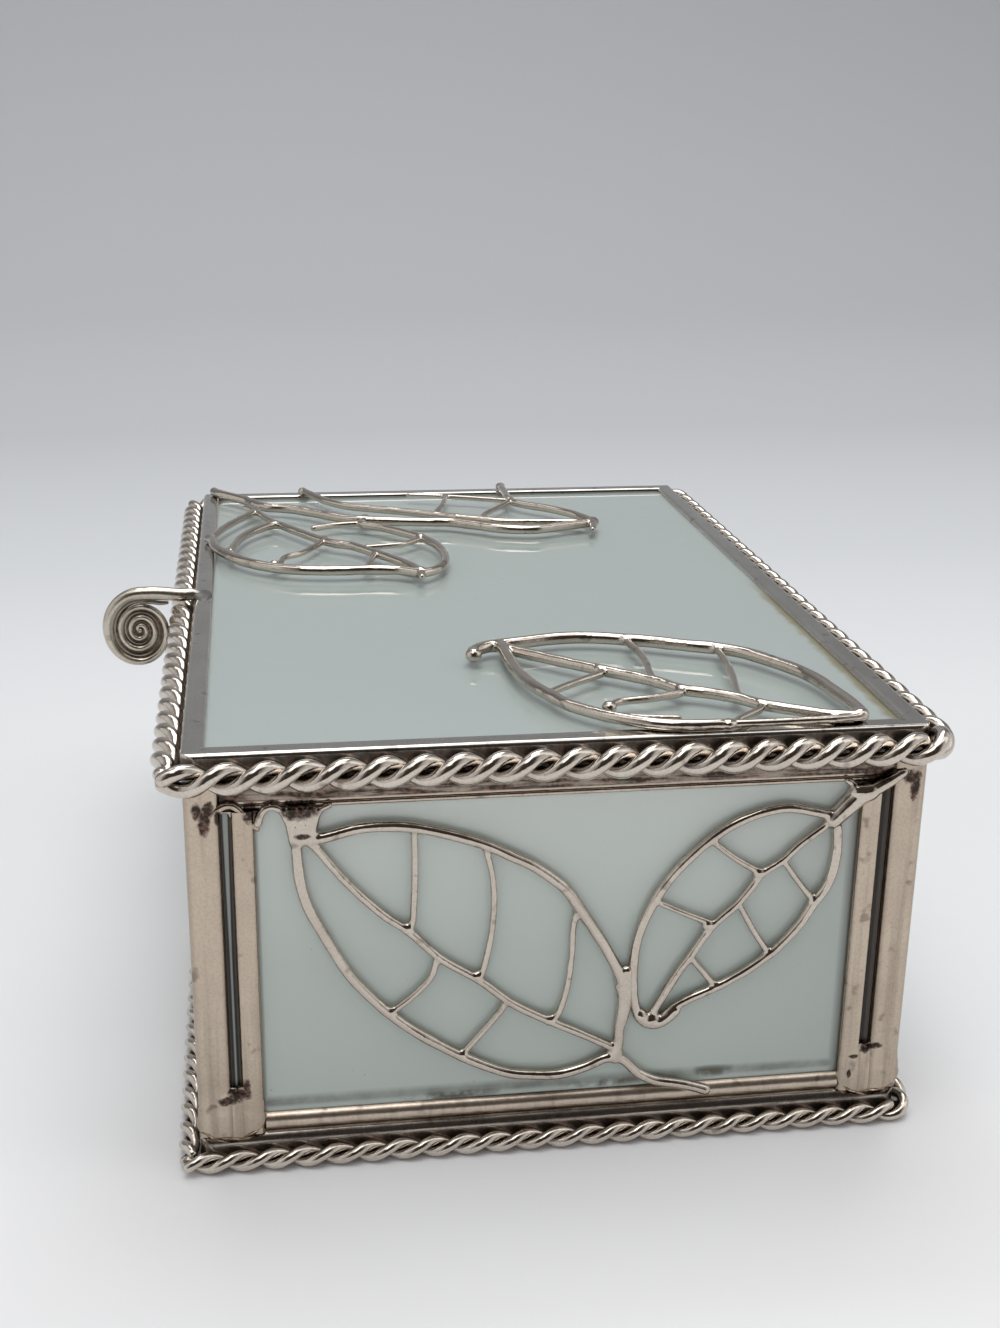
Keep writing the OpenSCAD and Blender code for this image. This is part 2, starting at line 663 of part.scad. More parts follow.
placed() base_glass();
for (side = [0 : 3]) {
    placed() base_bar(side);
    placed() trim(side, base_rope_d, base_rope_pitch, base_rope_z, 4);
    placed() wall_glass(side);
    placed() rods(side);
    placed() rim(side);
    placed() foot_bar(side);
    placed() lid_bar(side);
    placed() trim(side, lid_rope_d, lid_rope_pitch, lid_rope_z, 5);
}
for (corner = [0 : 3])
    placed() post(corner);
placed() right_large_leaf();
placed() right_small_leaf();
placed() hinge_tube();
placed() hinge_rod();
placed() lid_glass();
placed() lid_near_leaf();
placed() lid_corner_leaf();
placed() lid_far_leaf();
placed() finger_tab();
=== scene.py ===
import bmesh
import bpy
import math
from mathutils import Matrix, Vector, noise


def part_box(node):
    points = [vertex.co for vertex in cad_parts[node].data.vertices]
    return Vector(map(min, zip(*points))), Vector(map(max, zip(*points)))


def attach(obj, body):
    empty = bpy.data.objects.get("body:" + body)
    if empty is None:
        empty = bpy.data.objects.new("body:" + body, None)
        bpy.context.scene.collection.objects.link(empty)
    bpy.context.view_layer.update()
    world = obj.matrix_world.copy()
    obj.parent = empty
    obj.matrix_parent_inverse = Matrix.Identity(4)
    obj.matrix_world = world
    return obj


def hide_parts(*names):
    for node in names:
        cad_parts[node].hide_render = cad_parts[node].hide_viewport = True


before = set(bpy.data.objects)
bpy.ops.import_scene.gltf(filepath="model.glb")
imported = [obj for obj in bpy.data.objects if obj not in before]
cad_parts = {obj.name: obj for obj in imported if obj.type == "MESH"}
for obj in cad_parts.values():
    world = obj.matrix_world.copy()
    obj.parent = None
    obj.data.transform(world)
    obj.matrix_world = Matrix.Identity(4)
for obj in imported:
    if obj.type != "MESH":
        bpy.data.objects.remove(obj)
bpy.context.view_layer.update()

MM = 0.001


# ------------------------------------------------------------------ sizes, mm
# The frame's own boxes give the places, so the pieces follow the solids
FRONT_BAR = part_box("lid_front_bar")
BACK_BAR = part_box("lid_back_bar")
SHIFT = (FRONT_BAR[0].y + BACK_BAR[1].y) / 2 / MM
BOX_L = 2 * FRONT_BAR[1].x / MM
BOX_W = (BACK_BAR[1].y - FRONT_BAR[0].y) / MM
LID_TOP = FRONT_BAR[1].z / MM
LID_Z = FRONT_BAR[0].z / MM
CORNER_R = 2.0
# Air left between a trim, leaf or tab and what it is soldered to
FILM = 0.05
# Twisted wires: diameter of the pair, length of one turn, and height of its middle
LID_ROPE_D = 4.1
LID_ROPE_PITCH = 10.3
LID_ROPE_Z = LID_Z + 1.3
BASE_ROPE_D = 3.1
BASE_ROPE_PITCH = 9.0
BASE_ROPE_Z = BASE_ROPE_D / 2 + 0.1
# Outsides of the panes of the right end and of the back, and how far in they are from the lid's edge
WALL_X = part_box("right_glass")[1].x / MM
GLASS_IN = BOX_L / 2 - WALL_X
WALL_Y = BOX_W / 2 - GLASS_IN
RIM_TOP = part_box("right_rim")[1].z / MM
# Shading for the near end only starts between these places along the box
NEAR_PANE = (70.0, 70.4)
NEAR_SOLDER = (72.8, 73.3)
SIDES = ["front", "right", "back", "left"]


def at(x, y, z):
    """A place in the object's own mm, with y = 0 midway between front and back."""
    return Vector((x, y + SHIFT, z)) * MM


# ------------------------------------------------------------------ materials
def new_material(name):
    mat = bpy.data.materials.new(name)
    mat.use_nodes = True
    tree = mat.node_tree
    tree.nodes.clear()
    out = tree.nodes.new("ShaderNodeOutputMaterial")
    shader = tree.nodes.new("ShaderNodeBsdfPrincipled")
    tree.links.new(shader.outputs["BSDF"], out.inputs["Surface"])
    return mat, tree, shader


def object_coordinates(tree):
    return tree.nodes.new("ShaderNodeTexCoord").outputs["Object"]


def noise_node(tree, vector, scale, detail=3.0, rough=0.5):
    node = tree.nodes.new("ShaderNodeTexNoise")
    node.inputs["Scale"].default_value = scale
    node.inputs["Detail"].default_value = detail
    node.inputs["Roughness"].default_value = rough
    tree.links.new(vector, node.inputs["Vector"])
    return node


def ramp_node(tree, value, stops):
    """Colours in between the stops. Each stop is a value and its colour."""
    node = tree.nodes.new("ShaderNodeValToRGB")
    ramp = node.color_ramp
    while len(ramp.elements) < len(stops):
        ramp.elements.new(0.5)
    for element, (pos, colour) in zip(ramp.elements, stops):
        element.position = pos
        element.color = (*colour, 1)
    tree.links.new(value, node.inputs["Fac"])
    return node


def grey(v):
    return (v, v, v)


def math_node(tree, operation, a, b, clamp=False):
    node = tree.nodes.new("ShaderNodeMath")
    node.operation = operation
    node.use_clamp = clamp
    for socket, value in zip(node.inputs, (a, b)):
        if isinstance(value, (int, float)):
            socket.default_value = value
        else:
            tree.links.new(value, socket)
    return node.outputs[0]


def mix_colour(tree, factor, a, b):
    node = tree.nodes.new("ShaderNodeMix")
    node.data_type = "RGBA"
    for socket, value in ((node.inputs[0], factor), (node.inputs[6], a), (node.inputs[7], b)):
        if isinstance(value, (int, float)):
            socket.default_value = value
        elif isinstance(value, tuple):
            socket.default_value = (*value, 1)
        else:
            tree.links.new(value, socket)
    return node.outputs[2]


def place_nodes(tree):
    """The place along the box, from front to back and up, in the object's own mm."""
    split = tree.nodes.new("ShaderNodeSeparateXYZ")
    tree.links.new(object_coordinates(tree), split.inputs[0])
    x = math_node(tree, "MULTIPLY", split.outputs["X"], 1000)
    y = math_node(tree, "SUBTRACT", math_node(tree, "MULTIPLY", split.outputs["Y"], 1000), SHIFT)
    z = math_node(tree, "MULTIPLY", split.outputs["Z"], 1000)
    return x, y, z


def rise(tree, value, none, full):
    """0 at the first value and 1 at the second."""
    return math_node(tree, "MULTIPLY", math_node(tree, "SUBTRACT", value, none),
                     1 / (full - none), True)


def most(tree, *values):
    """The largest of the values."""
    result = values[0]
    for value in values[1:]:
        result = math_node(tree, "MAXIMUM", result, value)
    return result


def size_of(tree, value):
    """The value without its sign."""
    return math_node(tree, "ABSOLUTE", value, 0)


def product(tree, *values):
    result = values[0]
    for value in values[1:]:
        result = math_node(tree, "MULTIPLY", result, value)
    return result


def spot(tree, y, z, middle_y, middle_z, reach_y, reach_z):
    """1 in the middle of an oval and 0 at its edge."""
    dy = math_node(tree, "MULTIPLY", math_node(tree, "SUBTRACT", y, middle_y), 1 / reach_y)
    dz = math_node(tree, "MULTIPLY", math_node(tree, "SUBTRACT", z, middle_z), 1 / reach_z)
    square = math_node(tree, "ADD", product(tree, dy, dy), product(tree, dz, dz))
    return math_node(tree, "SUBTRACT", 1.0, square, True)


def contact_shade(tree, x, y):
    """Painted shade: the dark line where metal meets the outside of a wall pane."""
    out = most(tree, math_node(tree, "SUBTRACT", size_of(tree, x), WALL_X),
               math_node(tree, "SUBTRACT", size_of(tree, y), WALL_Y))
    return product(tree, rise(tree, out, 0.34, 0.10), rise(tree, out, -0.5, -0.2))


# Dark flux stains on the near end's posts, arches and feet: middle and reach in mm
STAINS = [(-49.0, 54.4, 0.8, 1.5), (-47.4, 54.6, 1.1, 1.4), (-48.1, 52.7, 1.0, 2.4),
          (-46.3, 53.2, 0.6, 1.4), (48.5, 54.6, 1.5, 1.4), (49.0, 52.9, 0.9, 2.3),
          (-44.9, 11.5, 1.9, 1.3), (-46.7, 10.7, 1.7, 0.8), (-44.0, 12.9, 0.7, 1.5),
          (45.4, 12.2, 1.0, 1.4), (46.9, 12.2, 1.2, 0.6), (43.7, 10.7, 1.0, 0.45),
          (43.1, 7.9, 0.4, 0.9), (-41.9, 53.9, 1.4, 2.0), (-35.6, 54.0, 3.2, 1.7),
          (43.2, 55.2, 2.6, 1.5), (-35.4, 50.3, 1.4, 0.5)]


def stained(tree, vector, y, z):
    """Ragged, soft-edged stains."""
    ragged = noise_node(tree, vector, 800, 5, 0.75).outputs["Fac"]
    shade = most(tree, *[spot(tree, y, z, *stain) for stain in STAINS])
    inside = rise(tree, shade, 0.0, 0.15)
    rough_edge = math_node(tree, "MULTIPLY", math_node(tree, "SUBTRACT", ragged, 0.5), 2.2)
    dark = rise(tree, math_node(tree, "ADD", shade, rough_edge), 0.12, 0.7)
    return product(tree, dark, inside, 0.95)


def streaks(tree, vector, stretch, scale):
    """Noise drawn out along a run of metal."""
    stretched = tree.nodes.new("ShaderNodeMapping")
    stretched.inputs["Scale"].default_value = stretch
    tree.links.new(vector, stretched.inputs["Vector"])
    return noise_node(tree, stretched.outputs["Vector"], scale, 3, 0.6).outputs["Fac"]


# Rounded flanks of a post and its rod beside the slit get painted shade, from the first place to
# the second, and how deep. The metal ends a little beyond the second place.
FLANKS = [(46.75, 46.06, 0.42), (44.1, 44.69, 0.36), (42.1, 41.56, 0.30)]
FLANK_END = 0.05


def solder_shade(tree, vector):
    """Stains, and painted shade: contact line on glass, dark edges and flanks, faint bands along a seam.
    """
    x, y, z = place_nodes(tree)
    # Faint vertical bands of painted shade, for the look of a rounded face
    bands = streaks(tree, vector, (1.0, 1.0, 0.035), 520)
    bands = product(tree, rise(tree, bands, 0.52, 0.68), 0.26)
    side = size_of(tree, y)
    near = rise(tree, x, *NEAR_SOLDER)
    # Painted shade on the outer edges, and at the near end on the rounded flanks
    edge = product(tree, rise(tree, side, 49.9, 50.7), 0.3)
    for start, end, depth in FLANKS:
        metal_end = end + (end - start) * FLANK_END
        flank = product(tree, rise(tree, side, start, end), rise(tree, side, metal_end, end),
                        depth, near)
        edge = most(tree, edge, flank)
    stains = product(tree, stained(tree, vector, y, z), near)
    return most(tree, stains, product(tree, contact_shade(tree, x, y), 0.85), bands, edge)


def rim_shade(tree, vector):
    """Painted shade, brown and streaked, under the lid on the rim's outer face above its bright bead."""
    z = place_nodes(tree)[2]
    dark = rise(tree, streaks(tree, vector, (0.18, 0.18, 1.6), 900), 0.62, 0.42)
    overhang_shade = product(tree, rise(tree, z, RIM_TOP - 2.8, RIM_TOP - 2.6),
                    rise(tree, z, RIM_TOP - 0.1, RIM_TOP - 0.4),
                    math_node(tree, "ADD", product(tree, dark, 0.5), 0.45))
    return most(tree, overhang_shade, solder_shade(tree, vector))


def strip_shade(tree, vector):
    """Painted shade on the lid frame's outer face, down behind the twisted wire."""
    x, y, z = place_nodes(tree)
    outer = most(tree, rise(tree, size_of(tree, x), BOX_L / 2 - 0.5, BOX_L / 2 - 0.3),
                 rise(tree, size_of(tree, y), BOX_W / 2 - 0.5, BOX_W / 2 - 0.3))
    return product(tree, rise(tree, z, LID_TOP - 0.35, LID_TOP - 0.7), outer, 0.8)


def wire_shade(tree, vector):
    """Leaf wires on the walls share the stains and the painted contact shade of the solder."""
    x, y, z = place_nodes(tree)
    shade = most(tree, product(tree, contact_shade(tree, x, y), 0.9), stained(tree, vector, y, z))
    return product(tree, shade, rise(tree, z, RIM_TOP + 1, RIM_TOP))


def base_shade(tree, vector):
    """Painted shade: the base bars are darker low down and in streaks along their length."""
    z = place_nodes(tree)[2]
    dark = rise(tree, streaks(tree, vector, (0.1, 0.1, 1.5), 1100), 0.62, 0.36)
    return most(tree, product(tree, dark, 0.7), product(tree, rise(tree, z, 3.9, 3.2), 0.75))


TARNISH = (0.30, 0.22, 0.17)
BROWN_SPOT = (0.10, 0.075, 0.06)
PIT = (0.20, 0.165, 0.13)
# Dark colours for the Shade input, which carries real stains and painted shade alike
STAIN_AND_SHADE_COLOURS = [(0.48, (0.024, 0.018, 0.015)), (0.64, (0.15, 0.085, 0.068))]


def plate_group():
    """Hand-soldered, silver-plated metal: tint, sheen and the wavy skin of a solder bead."""
    group = bpy.data.node_groups.new("plate_finish", "ShaderNodeTree")
    for name, kind in (("Vector", "NodeSocketVector"), ("Tint", "NodeSocketColor"),
                       ("Shade", "NodeSocketFloat")):
        group.interface.new_socket(name, in_out="INPUT", socket_type=kind)
    for name, kind in (("Colour", "NodeSocketColor"), ("Roughness", "NodeSocketFloat"),
                       ("Height", "NodeSocketFloat")):
        group.interface.new_socket(name, in_out="OUTPUT", socket_type=kind)
    source = group.nodes.new("NodeGroupInput")
    sink = group.nodes.new("NodeGroupOutput")
    vector = source.outputs["Vector"]
    broad = noise_node(group, vector, 120, 3)
    fine = noise_node(group, vector, 900, 4, 0.6)
    spots = noise_node(group, vector, 420, 2, 0.4)
    dull = ramp_node(group, broad.outputs["Fac"], [(0.35, grey(0.0)), (0.7, grey(1.0))])
    stain = ramp_node(group, spots.outputs["Fac"], [(0.66, grey(0.0)), (0.74, grey(1.0))])
    darker = mix_colour(group, 0.22, source.outputs["Tint"], TARNISH)
    colour = mix_colour(group, dull.outputs["Color"], source.outputs["Tint"], darker)
    colour = mix_colour(group, product(group, stain.outputs["Color"], 0.5), colour, BROWN_SPOT)
    grain = noise_node(group, vector, 2600, 2, 0.6)
    pits = ramp_node(group, grain.outputs["Fac"], [(0.42, grey(0.0)), (0.70, grey(1.0))])
    colour = mix_colour(group, product(group, pits.outputs["Color"], 0.20), colour, PIT)
    stain_and_shade = ramp_node(group, noise_node(group, vector, 1500, 3, 0.6).outputs["Fac"], STAIN_AND_SHADE_COLOURS)
    # Stains and painted shade darken the metal alike
    colour = mix_colour(group, source.outputs["Shade"], colour, stain_and_shade.outputs["Color"])
    group.links.new(colour, sink.inputs["Colour"])
    rough = math_node(group, "ADD", product(group, fine.outputs["Fac"], 0.11), 0.05)
    rough = math_node(group, "ADD", rough, product(group, source.outputs["Shade"], 0.25))
    group.links.new(rough, sink.inputs["Roughness"])
    height = broad.outputs["Fac"]
    for part, share in ((spots, 0.3), (fine, 0.08), (grain, 0.03)):
        height = math_node(group, "ADD", height, product(group, part.outputs["Fac"], share))
    group.links.new(height, sink.inputs["Height"])
    return group


PLATE = plate_group()
BUMP_REACH = 0.6 * MM


def bump(tree, shader, height, strength):
    """Turns a height into the slope of the surface."""
    node = tree.nodes.new("ShaderNodeBump")
    node.inputs["Strength"].default_value = strength
    node.inputs["Distance"].default_value = BUMP_REACH
    tree.links.new(height, node.inputs["Height"])
    tree.links.new(node.outputs["Normal"], shader.inputs["Normal"])


def plate(name, tint, waviness, shade=None, dull=None):
    """A plated metal. Shade gives its stains and painted shade, or is "groove" for painted shade in
    the creases and gaps of a wound or twisted wire. Dull is an even roughness in place of the varied
    one."""
    mat, tree, shader = new_material(name)
    group = tree.nodes.new("ShaderNodeGroup")
    group.node_tree = PLATE
    vector = object_coordinates(tree)
    tree.links.new(vector, group.inputs["Vector"])
    group.inputs["Tint"].default_value = (*tint, 1)
    group.inputs["Shade"].default_value = 0.0
    if shade == "groove":
        attribute = tree.nodes.new("ShaderNodeAttribute")
        attribute.attribute_name = "groove"
        tree.links.new(attribute.outputs["Fac"], group.inputs["Shade"])
    elif shade:
        tree.links.new(shade(tree, vector), group.inputs["Shade"])
    tree.links.new(group.outputs["Colour"], shader.inputs["Base Color"])
    if dull:
        shader.inputs["Roughness"].default_value = dull
    else:
        tree.links.new(group.outputs["Roughness"], shader.inputs["Roughness"])
    shader.inputs["Metallic"].default_value = 1.0
    bump(tree, shader, group.outputs["Height"], waviness)
    return mat


SILVER = (0.555, 0.473, 0.382)
solder_mat = plate("solder", SILVER, 0.35, shade=solder_shade)
rim_mat = plate("rim_solder", (0.58, 0.50, 0.42), 0.4, shade=rim_shade)
base_mat = plate("base_solder", (0.58, 0.54, 0.49), 0.15, shade=base_shade)
strip_mat = plate("lid_strip", (0.61, 0.59, 0.55), 0.12, shade=strip_shade)
# Painted shade: the tab's root gets a far darker tint than the strip it melts into, to damp its
# highlight
root_mat = plate("tab_root", (0.18, 0.175, 0.168), 0.25, dull=0.55)
wire_mat = plate("leaf_wire", (0.62, 0.56, 0.49), 0.34, shade=wire_shade, dull=0.06)
foot_bar_mat = plate("foot_bar_solder", (0.70, 0.60, 0.50), 0.3, shade=solder_shade, dull=0.3)
tab_mat = plate("tab_wire", (0.60, 0.55, 0.47), 0.3, shade="groove", dull=0.26)
rope_mat = plate("twisted_wire", (0.68, 0.62, 0.55), 0.42, shade="groove")
hinge_mat = plate("hinge_metal", (0.55, 0.52, 0.48), 0.1)
SPECK = (0.12, 0.12, 0.10)


def glass(name, tint, grime_light_and_shade=None):
    """Pale frosted glass with a glossy outer skin."""
    mat, tree, shader = new_material(name)
    vector = object_coordinates(tree)
    cloud = noise_node(tree, vector, 18, 2)
    colour = mix_colour(tree, cloud.outputs["Fac"], tint, tuple(c * 0.93 for c in tint))
    specks = noise_node(tree, vector, 1300, 1, 0.3)
    dots = ramp_node(tree, specks.outputs["Fac"], [(0.80, grey(0.0)), (0.84, grey(1.0))])
    colour = mix_colour(tree, product(tree, dots.outputs["Color"], 0.4), colour, SPECK)
    shader.inputs["Coat Weight"].default_value = 1.0
    if grime_light_and_shade:
        colour, covered = grime_light_and_shade(tree, vector, colour)
        bare = math_node(tree, "SUBTRACT", 1.0, covered, True)
        tree.links.new(bare, shader.inputs["Coat Weight"])
    tree.links.new(colour, shader.inputs["Base Color"])
    rough = noise_node(tree, vector, 300, 2)
    tree.links.new(math_node(tree, "ADD", product(tree, rough.outputs["Fac"], 0.1), 0.38),
                   shader.inputs["Roughness"])
    shader.inputs["Transmission Weight"].default_value = 0.25
    shader.inputs["IOR"].default_value = 1.5
    shader.inputs["Coat Roughness"].default_value = 0.03
    bump(tree, shader, noise_node(tree, vector, 35, 2).outputs["Fac"], 0.12)
    return mat


GLASS_TINT = (0.545, 0.625, 0.60)
# Painted light: the walls' panes are the lid's glass with a lighter tint
LIT_WALL_TINT = (0.66, 0.745, 0.70)
# Middle of the slit between a post and its rod, from the middle of the end
SLIT_MIDDLE = 45.37
# Patches of green-brown dirt along the foot of the near pane: middle and reach
MOSS = [(-15.0, 8.3, 8.0, 0.9), (7.0, 8.6, 8.0, 0.8), (22.3, 9.2, 4.6, 1.1)]
MOSS_GREEN = (0.085, 0.08, 0.04)
PAINTED_LIGHT_GLASS = (0.90, 0.97, 0.92)
# Colour of the darker foot and of the painted shade beside the rods
DARK_FOOT_AND_SHADE = (0.075, 0.078, 0.058)
# Painted shade in the slits, and the painted reflection of a post's flank
SLIT_SHADE = (0.012, 0.010, 0.008)
SLIT_FLANK_REFLECTION = (0.105, 0.082, 0.066)
FLUX_YELLOW = (0.27, 0.22, 0.085)


def wall_grime_light_and_shade(tree, vector, colour):
    """A pane with painted light under the lid, darker along its foot, and at the near end painted
    shade beside the rods and in the slits. Gives the colour, and how far the slits take the gloss away."""
    x, y, z = place_nodes(tree)
    cloud = noise_node(tree, vector, 260, 3, 0.6).outputs["Fac"]
    near = rise(tree, x, *NEAR_PANE)
    right_end = rise(tree, y, 0, 1)
    left_end = rise(tree, y, 1, 0)
    # Painted light: the pane grows paler towards the lid
    under_lid = rise(tree, z, 30, 54)
    foot = product(tree, rise(tree, z, 8.2, 8.8), rise(tree, z, 10.4, 9.4),
                   math_node(tree, "ADD", product(tree, cloud, 0.9), 0.12))
    # Painted shade beside the near end's rods, and faintly across its right part
    beside = most(tree, product(tree, rise(tree, y, 39.8, 41.4), 0.8),
                  product(tree, rise(tree, y, -41.1, -41.5), 0.5),
                  product(tree, rise(tree, y, 16, 38), 0.14))
    foot_and_shade = most(tree, foot, product(tree, beside, near))
    colour = mix_colour(tree, product(tree, under_lid, 0.7), colour, PAINTED_LIGHT_GLASS)
    colour = mix_colour(tree, foot_and_shade, colour, DARK_FOOT_AND_SHADE)
    # Between a post and its rod: painted shade, with a pale line up the left slit that widens to
    # its top, and a painted reflection of the post's brown flank in the right one
    off = math_node(tree, "SUBTRACT", size_of(tree, y), SLIT_MIDDLE)
    across = size_of(tree, off)
    pale = math_node(tree, "SUBTRACT", across, product(tree, rise(tree, z, 32, 52), 0.2))
    slit = product(tree, rise(tree, across, 0.9, 0.7),
                   most(tree, rise(tree, pale, 0.05, 0.2), right_end), near)
    flank = most(tree, product(tree, rise(tree, off, -0.15, 0.25), right_end),
                 product(tree, rise(tree, across, 0.42, 0.62), left_end))
    inside = mix_colour(tree, flank, SLIT_SHADE, SLIT_FLANK_REFLECTION)
    colour = mix_colour(tree, slit, colour, inside)
    moss = product(tree, most(tree, *[spot(tree, y, z, *patch) for patch in MOSS]),
                   rise(tree, cloud, 0.42, 0.56), near)
    return mix_colour(tree, moss, colour, MOSS_GREEN), slit


def lid_grime(tree, vector, colour):
    """Old flux has left a yellow-brown line along the hinge side of the lid's pane, which takes
    some of the gloss away."""
    x, y = place_nodes(tree)[:2]
    cloud = noise_node(tree, vector, 330, 3, 0.6).outputs["Fac"]
    ragged = math_node(tree, "ADD", y, product(tree, cloud, 2.4))
    line = product(tree, rise(tree, ragged, 47.1, 48.2), rise(tree, x, -2.0, 12.0))
    colour = mix_colour(tree, product(tree, line, 0.8), colour, FLUX_YELLOW)
    return colour, product(tree, line, 0.3)


wall_glass_mat = glass("wall_pane_glass", LIT_WALL_TINT, wall_grime_light_and_shade)
lid_glass_mat = glass("lid_pane_glass", GLASS_TINT, lid_grime)
base_glass_mat = glass("base_pane_glass", GLASS_TINT)


# ------------------------------------------------------------------ meshes
def new_object(bm, name, material):
    mesh = bpy.data.meshes.new(name)
    bm.to_mesh(mesh)
    bm.free()
    for polygon in mesh.polygons:
        polygon.use_smooth = True
    mesh.materials.append(material)
    obj = bpy.data.objects.new(name, mesh)
    bpy.context.scene.collection.objects.link(obj)
    return obj


def finish_mesh(bm, name, material, body):
    """A piece of the box, which moves with the body or the lid."""
    bmesh.ops.recalc_face_normals(bm, faces=bm.faces)
    obj = new_object(bm, name, material)
    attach(obj, body)
    return obj


def spline(points, step):
    """Smooth line through the points, cut into pieces about one step long."""
    result = []
    last = len(points) - 1
    for i in range(last):
        a, b = points[max(i - 1, 0)], points[i]
        c, d = points[i + 1], points[min(i + 2, last)]
        count = max(1, round((c - b).length / step))
        for k in range(count):
            t = k / count
            result.append((b * 2 + (c - a) * t + (a * 2 - b * 5 + c * 4 - d) * t * t
                           + (b * 3 - a - c * 3 + d) * t ** 3) / 2)
    result.append(points[-1].copy())
    return result


DOME = [math.radians(a) for a in (75, 50, 25)]


def rounded_ends(path, radii):
    """Adds a few shrinking rings at both ends of a path, so that the wire ends in a dome."""
    out_0 = (path[0] - path[1]).normalized() * radii[0]
    out_1 = (path[-1] - path[-2]).normalized() * radii[-1]
    head = [path[0] + out_0 * math.sin(a) for a in DOME]
    tail = [path[-1] + out_1 * math.sin(a) for a in reversed(DOME)]
    head_radii = [radii[0] * math.cos(a) for a in DOME]
    tail_radii = [radii[-1] * math.cos(a) for a in reversed(DOME)]
    return head + path + tail, head_radii + radii + tail_radii


def tube(bm, path, radii, sides, hint, groove=None):
    """A circle extruded along a path. The hint is a direction across the path at its start, and
    groove a direction at each place in which the wire's skin is painted dark, as shade."""
    wire = bmesh.new()
    layer = wire.verts.layers.float.new("groove")
    path, radii = rounded_ends(path, radii)
    if groove:
        groove = [groove[0]] * len(DOME) + groove + [groove[-1]] * len(DOME)
    last = len(path) - 1
    side = hint.copy()
    for i, (centre, radius) in enumerate(zip(path, radii)):
        heading = (path[min(i + 1, last)] - path[max(i - 1, 0)]).normalized()
        side = (side - heading * side.dot(heading)).normalized()
        basis = Matrix((side, heading.cross(side), heading)).transposed()
        if i == 0:
            matrix = Matrix.Translation(centre) @ basis.to_4x4()
            ring = bmesh.ops.create_circle(wire, cap_ends=True, segments=sides, radius=radius,
                                           matrix=matrix)
            cap = ring["verts"][0].link_faces[0]
        else:
            turn = basis @ old_basis.transposed() * (radius / old_radius)
            inner = cap
            extruded = bmesh.ops.extrude_face_region(wire, geom=[inner])["geom"]
            cap = [part for part in extruded if isinstance(part, bmesh.types.BMFace)][0]
            # The first cap closes the wire's end, and the caps inside it go
            if i > 1:
                wire.faces.remove(inner)
            for vert in cap.verts:
                vert.co = centre + turn @ (vert.co - old_centre)
        if groove:
            for vert in cap.verts:
                inward = max(0.0, (vert.co - centre).dot(groove[i]) / radius)
                vert[layer] = min(1.0, inward ** 2 * 0.9)
        old_centre, old_radius, old_basis = centre, radius, basis
    mesh = bpy.data.meshes.new("wire")
    wire.to_mesh(mesh)
    wire.free()
    bm.from_mesh(mesh)
    bpy.data.meshes.remove(mesh)


def ball(bm, centre, radius, squash=(1, 1, 1)):
    matrix = Matrix.Translation(centre) @ Matrix.Diagonal((*squash, 1))
    bmesh.ops.create_uvsphere(bm, u_segments=16, v_segments=10, radius=radius, matrix=matrix)


# ------------------------------------------------------------------ twisted trims
# A side is its number in SIDES, a place s is a length along its trim in mm, and out is how far
# the middle of the trim stands from the box. The twist runs on from side to side.
STRAND_STEPS = 26
STRAND_SIDES = 14


def run(side):
    """Length of the box along a side."""
    return BOX_L if side % 2 == 0 else BOX_W


def trim_straight(side, out):
    """Length of a trim up to its turn. The right end's starts ahead of the box's front face, and
    the front one stops behind it."""
    extra = {1: out + CORNER_R, 0: CORNER_R - FILM}.get(side, 0)
    return run(side) - 2 * CORNER_R + extra


def trim_length(side, out):
    """Length of a trim with its turn round the corner, which the front one doesn't have."""
    return trim_straight(side, out) + (0 if side == 0 else (CORNER_R + out) * math.pi / 2)


def trim_start(side, out):
    """Length of the trims before this one. The right end's is the first."""
    before = (side + 3) % 4
    return 0.0 if side == 1 else trim_start(before, out) + trim_length(before, out)


def trim_place(side, s, out):
    """Middle line of a trim and the way out of the box there."""
    straight = trim_straight(side, out)
    turn = CORNER_R + out
    x0 = -run(side) / 2 + CORNER_R - (out + CORNER_R if side == 1 else 0)
    a = 0 if s <= straight else (s - straight) / turn
    x = x0 + min(s, straight) + turn * math.sin(a)
    y = -(BOX_W if side % 2 == 0 else BOX_L) / 2 + CORNER_R - turn * math.cos(a)
    quarter = Matrix.Rotation(math.radians(90 * side), 3, "Z")
    return quarter @ Vector((x, y, 0)), quarter @ Vector((math.sin(a), -math.cos(a), 0))


# The near end's lid trim starts with a loose loop: place along it, angle of the twist in
# degrees, and how far apart its strands are. The front trim's end is pinched behind it.
LOOSE_LOOP = [(0.0, 58, 0.35), (0.9, 68, 0.8), (2.2, 88, 1.0), (3.6, 122, 1.0), (5.2, 180, 1.0)]
PINCH = 2.6


def loose(s, regular):
    """Angle and spread of the loose loop's strands."""
    for a, b in zip(LOOSE_LOOP, LOOSE_LOOP[1:]):
        if s < b[0]:
            t = (s - a[0]) / (b[0] - a[0])
            return math.radians(a[1] + (b[1] - a[1]) * t), a[2] + (b[2] - a[2]) * t
    return regular, 1.0


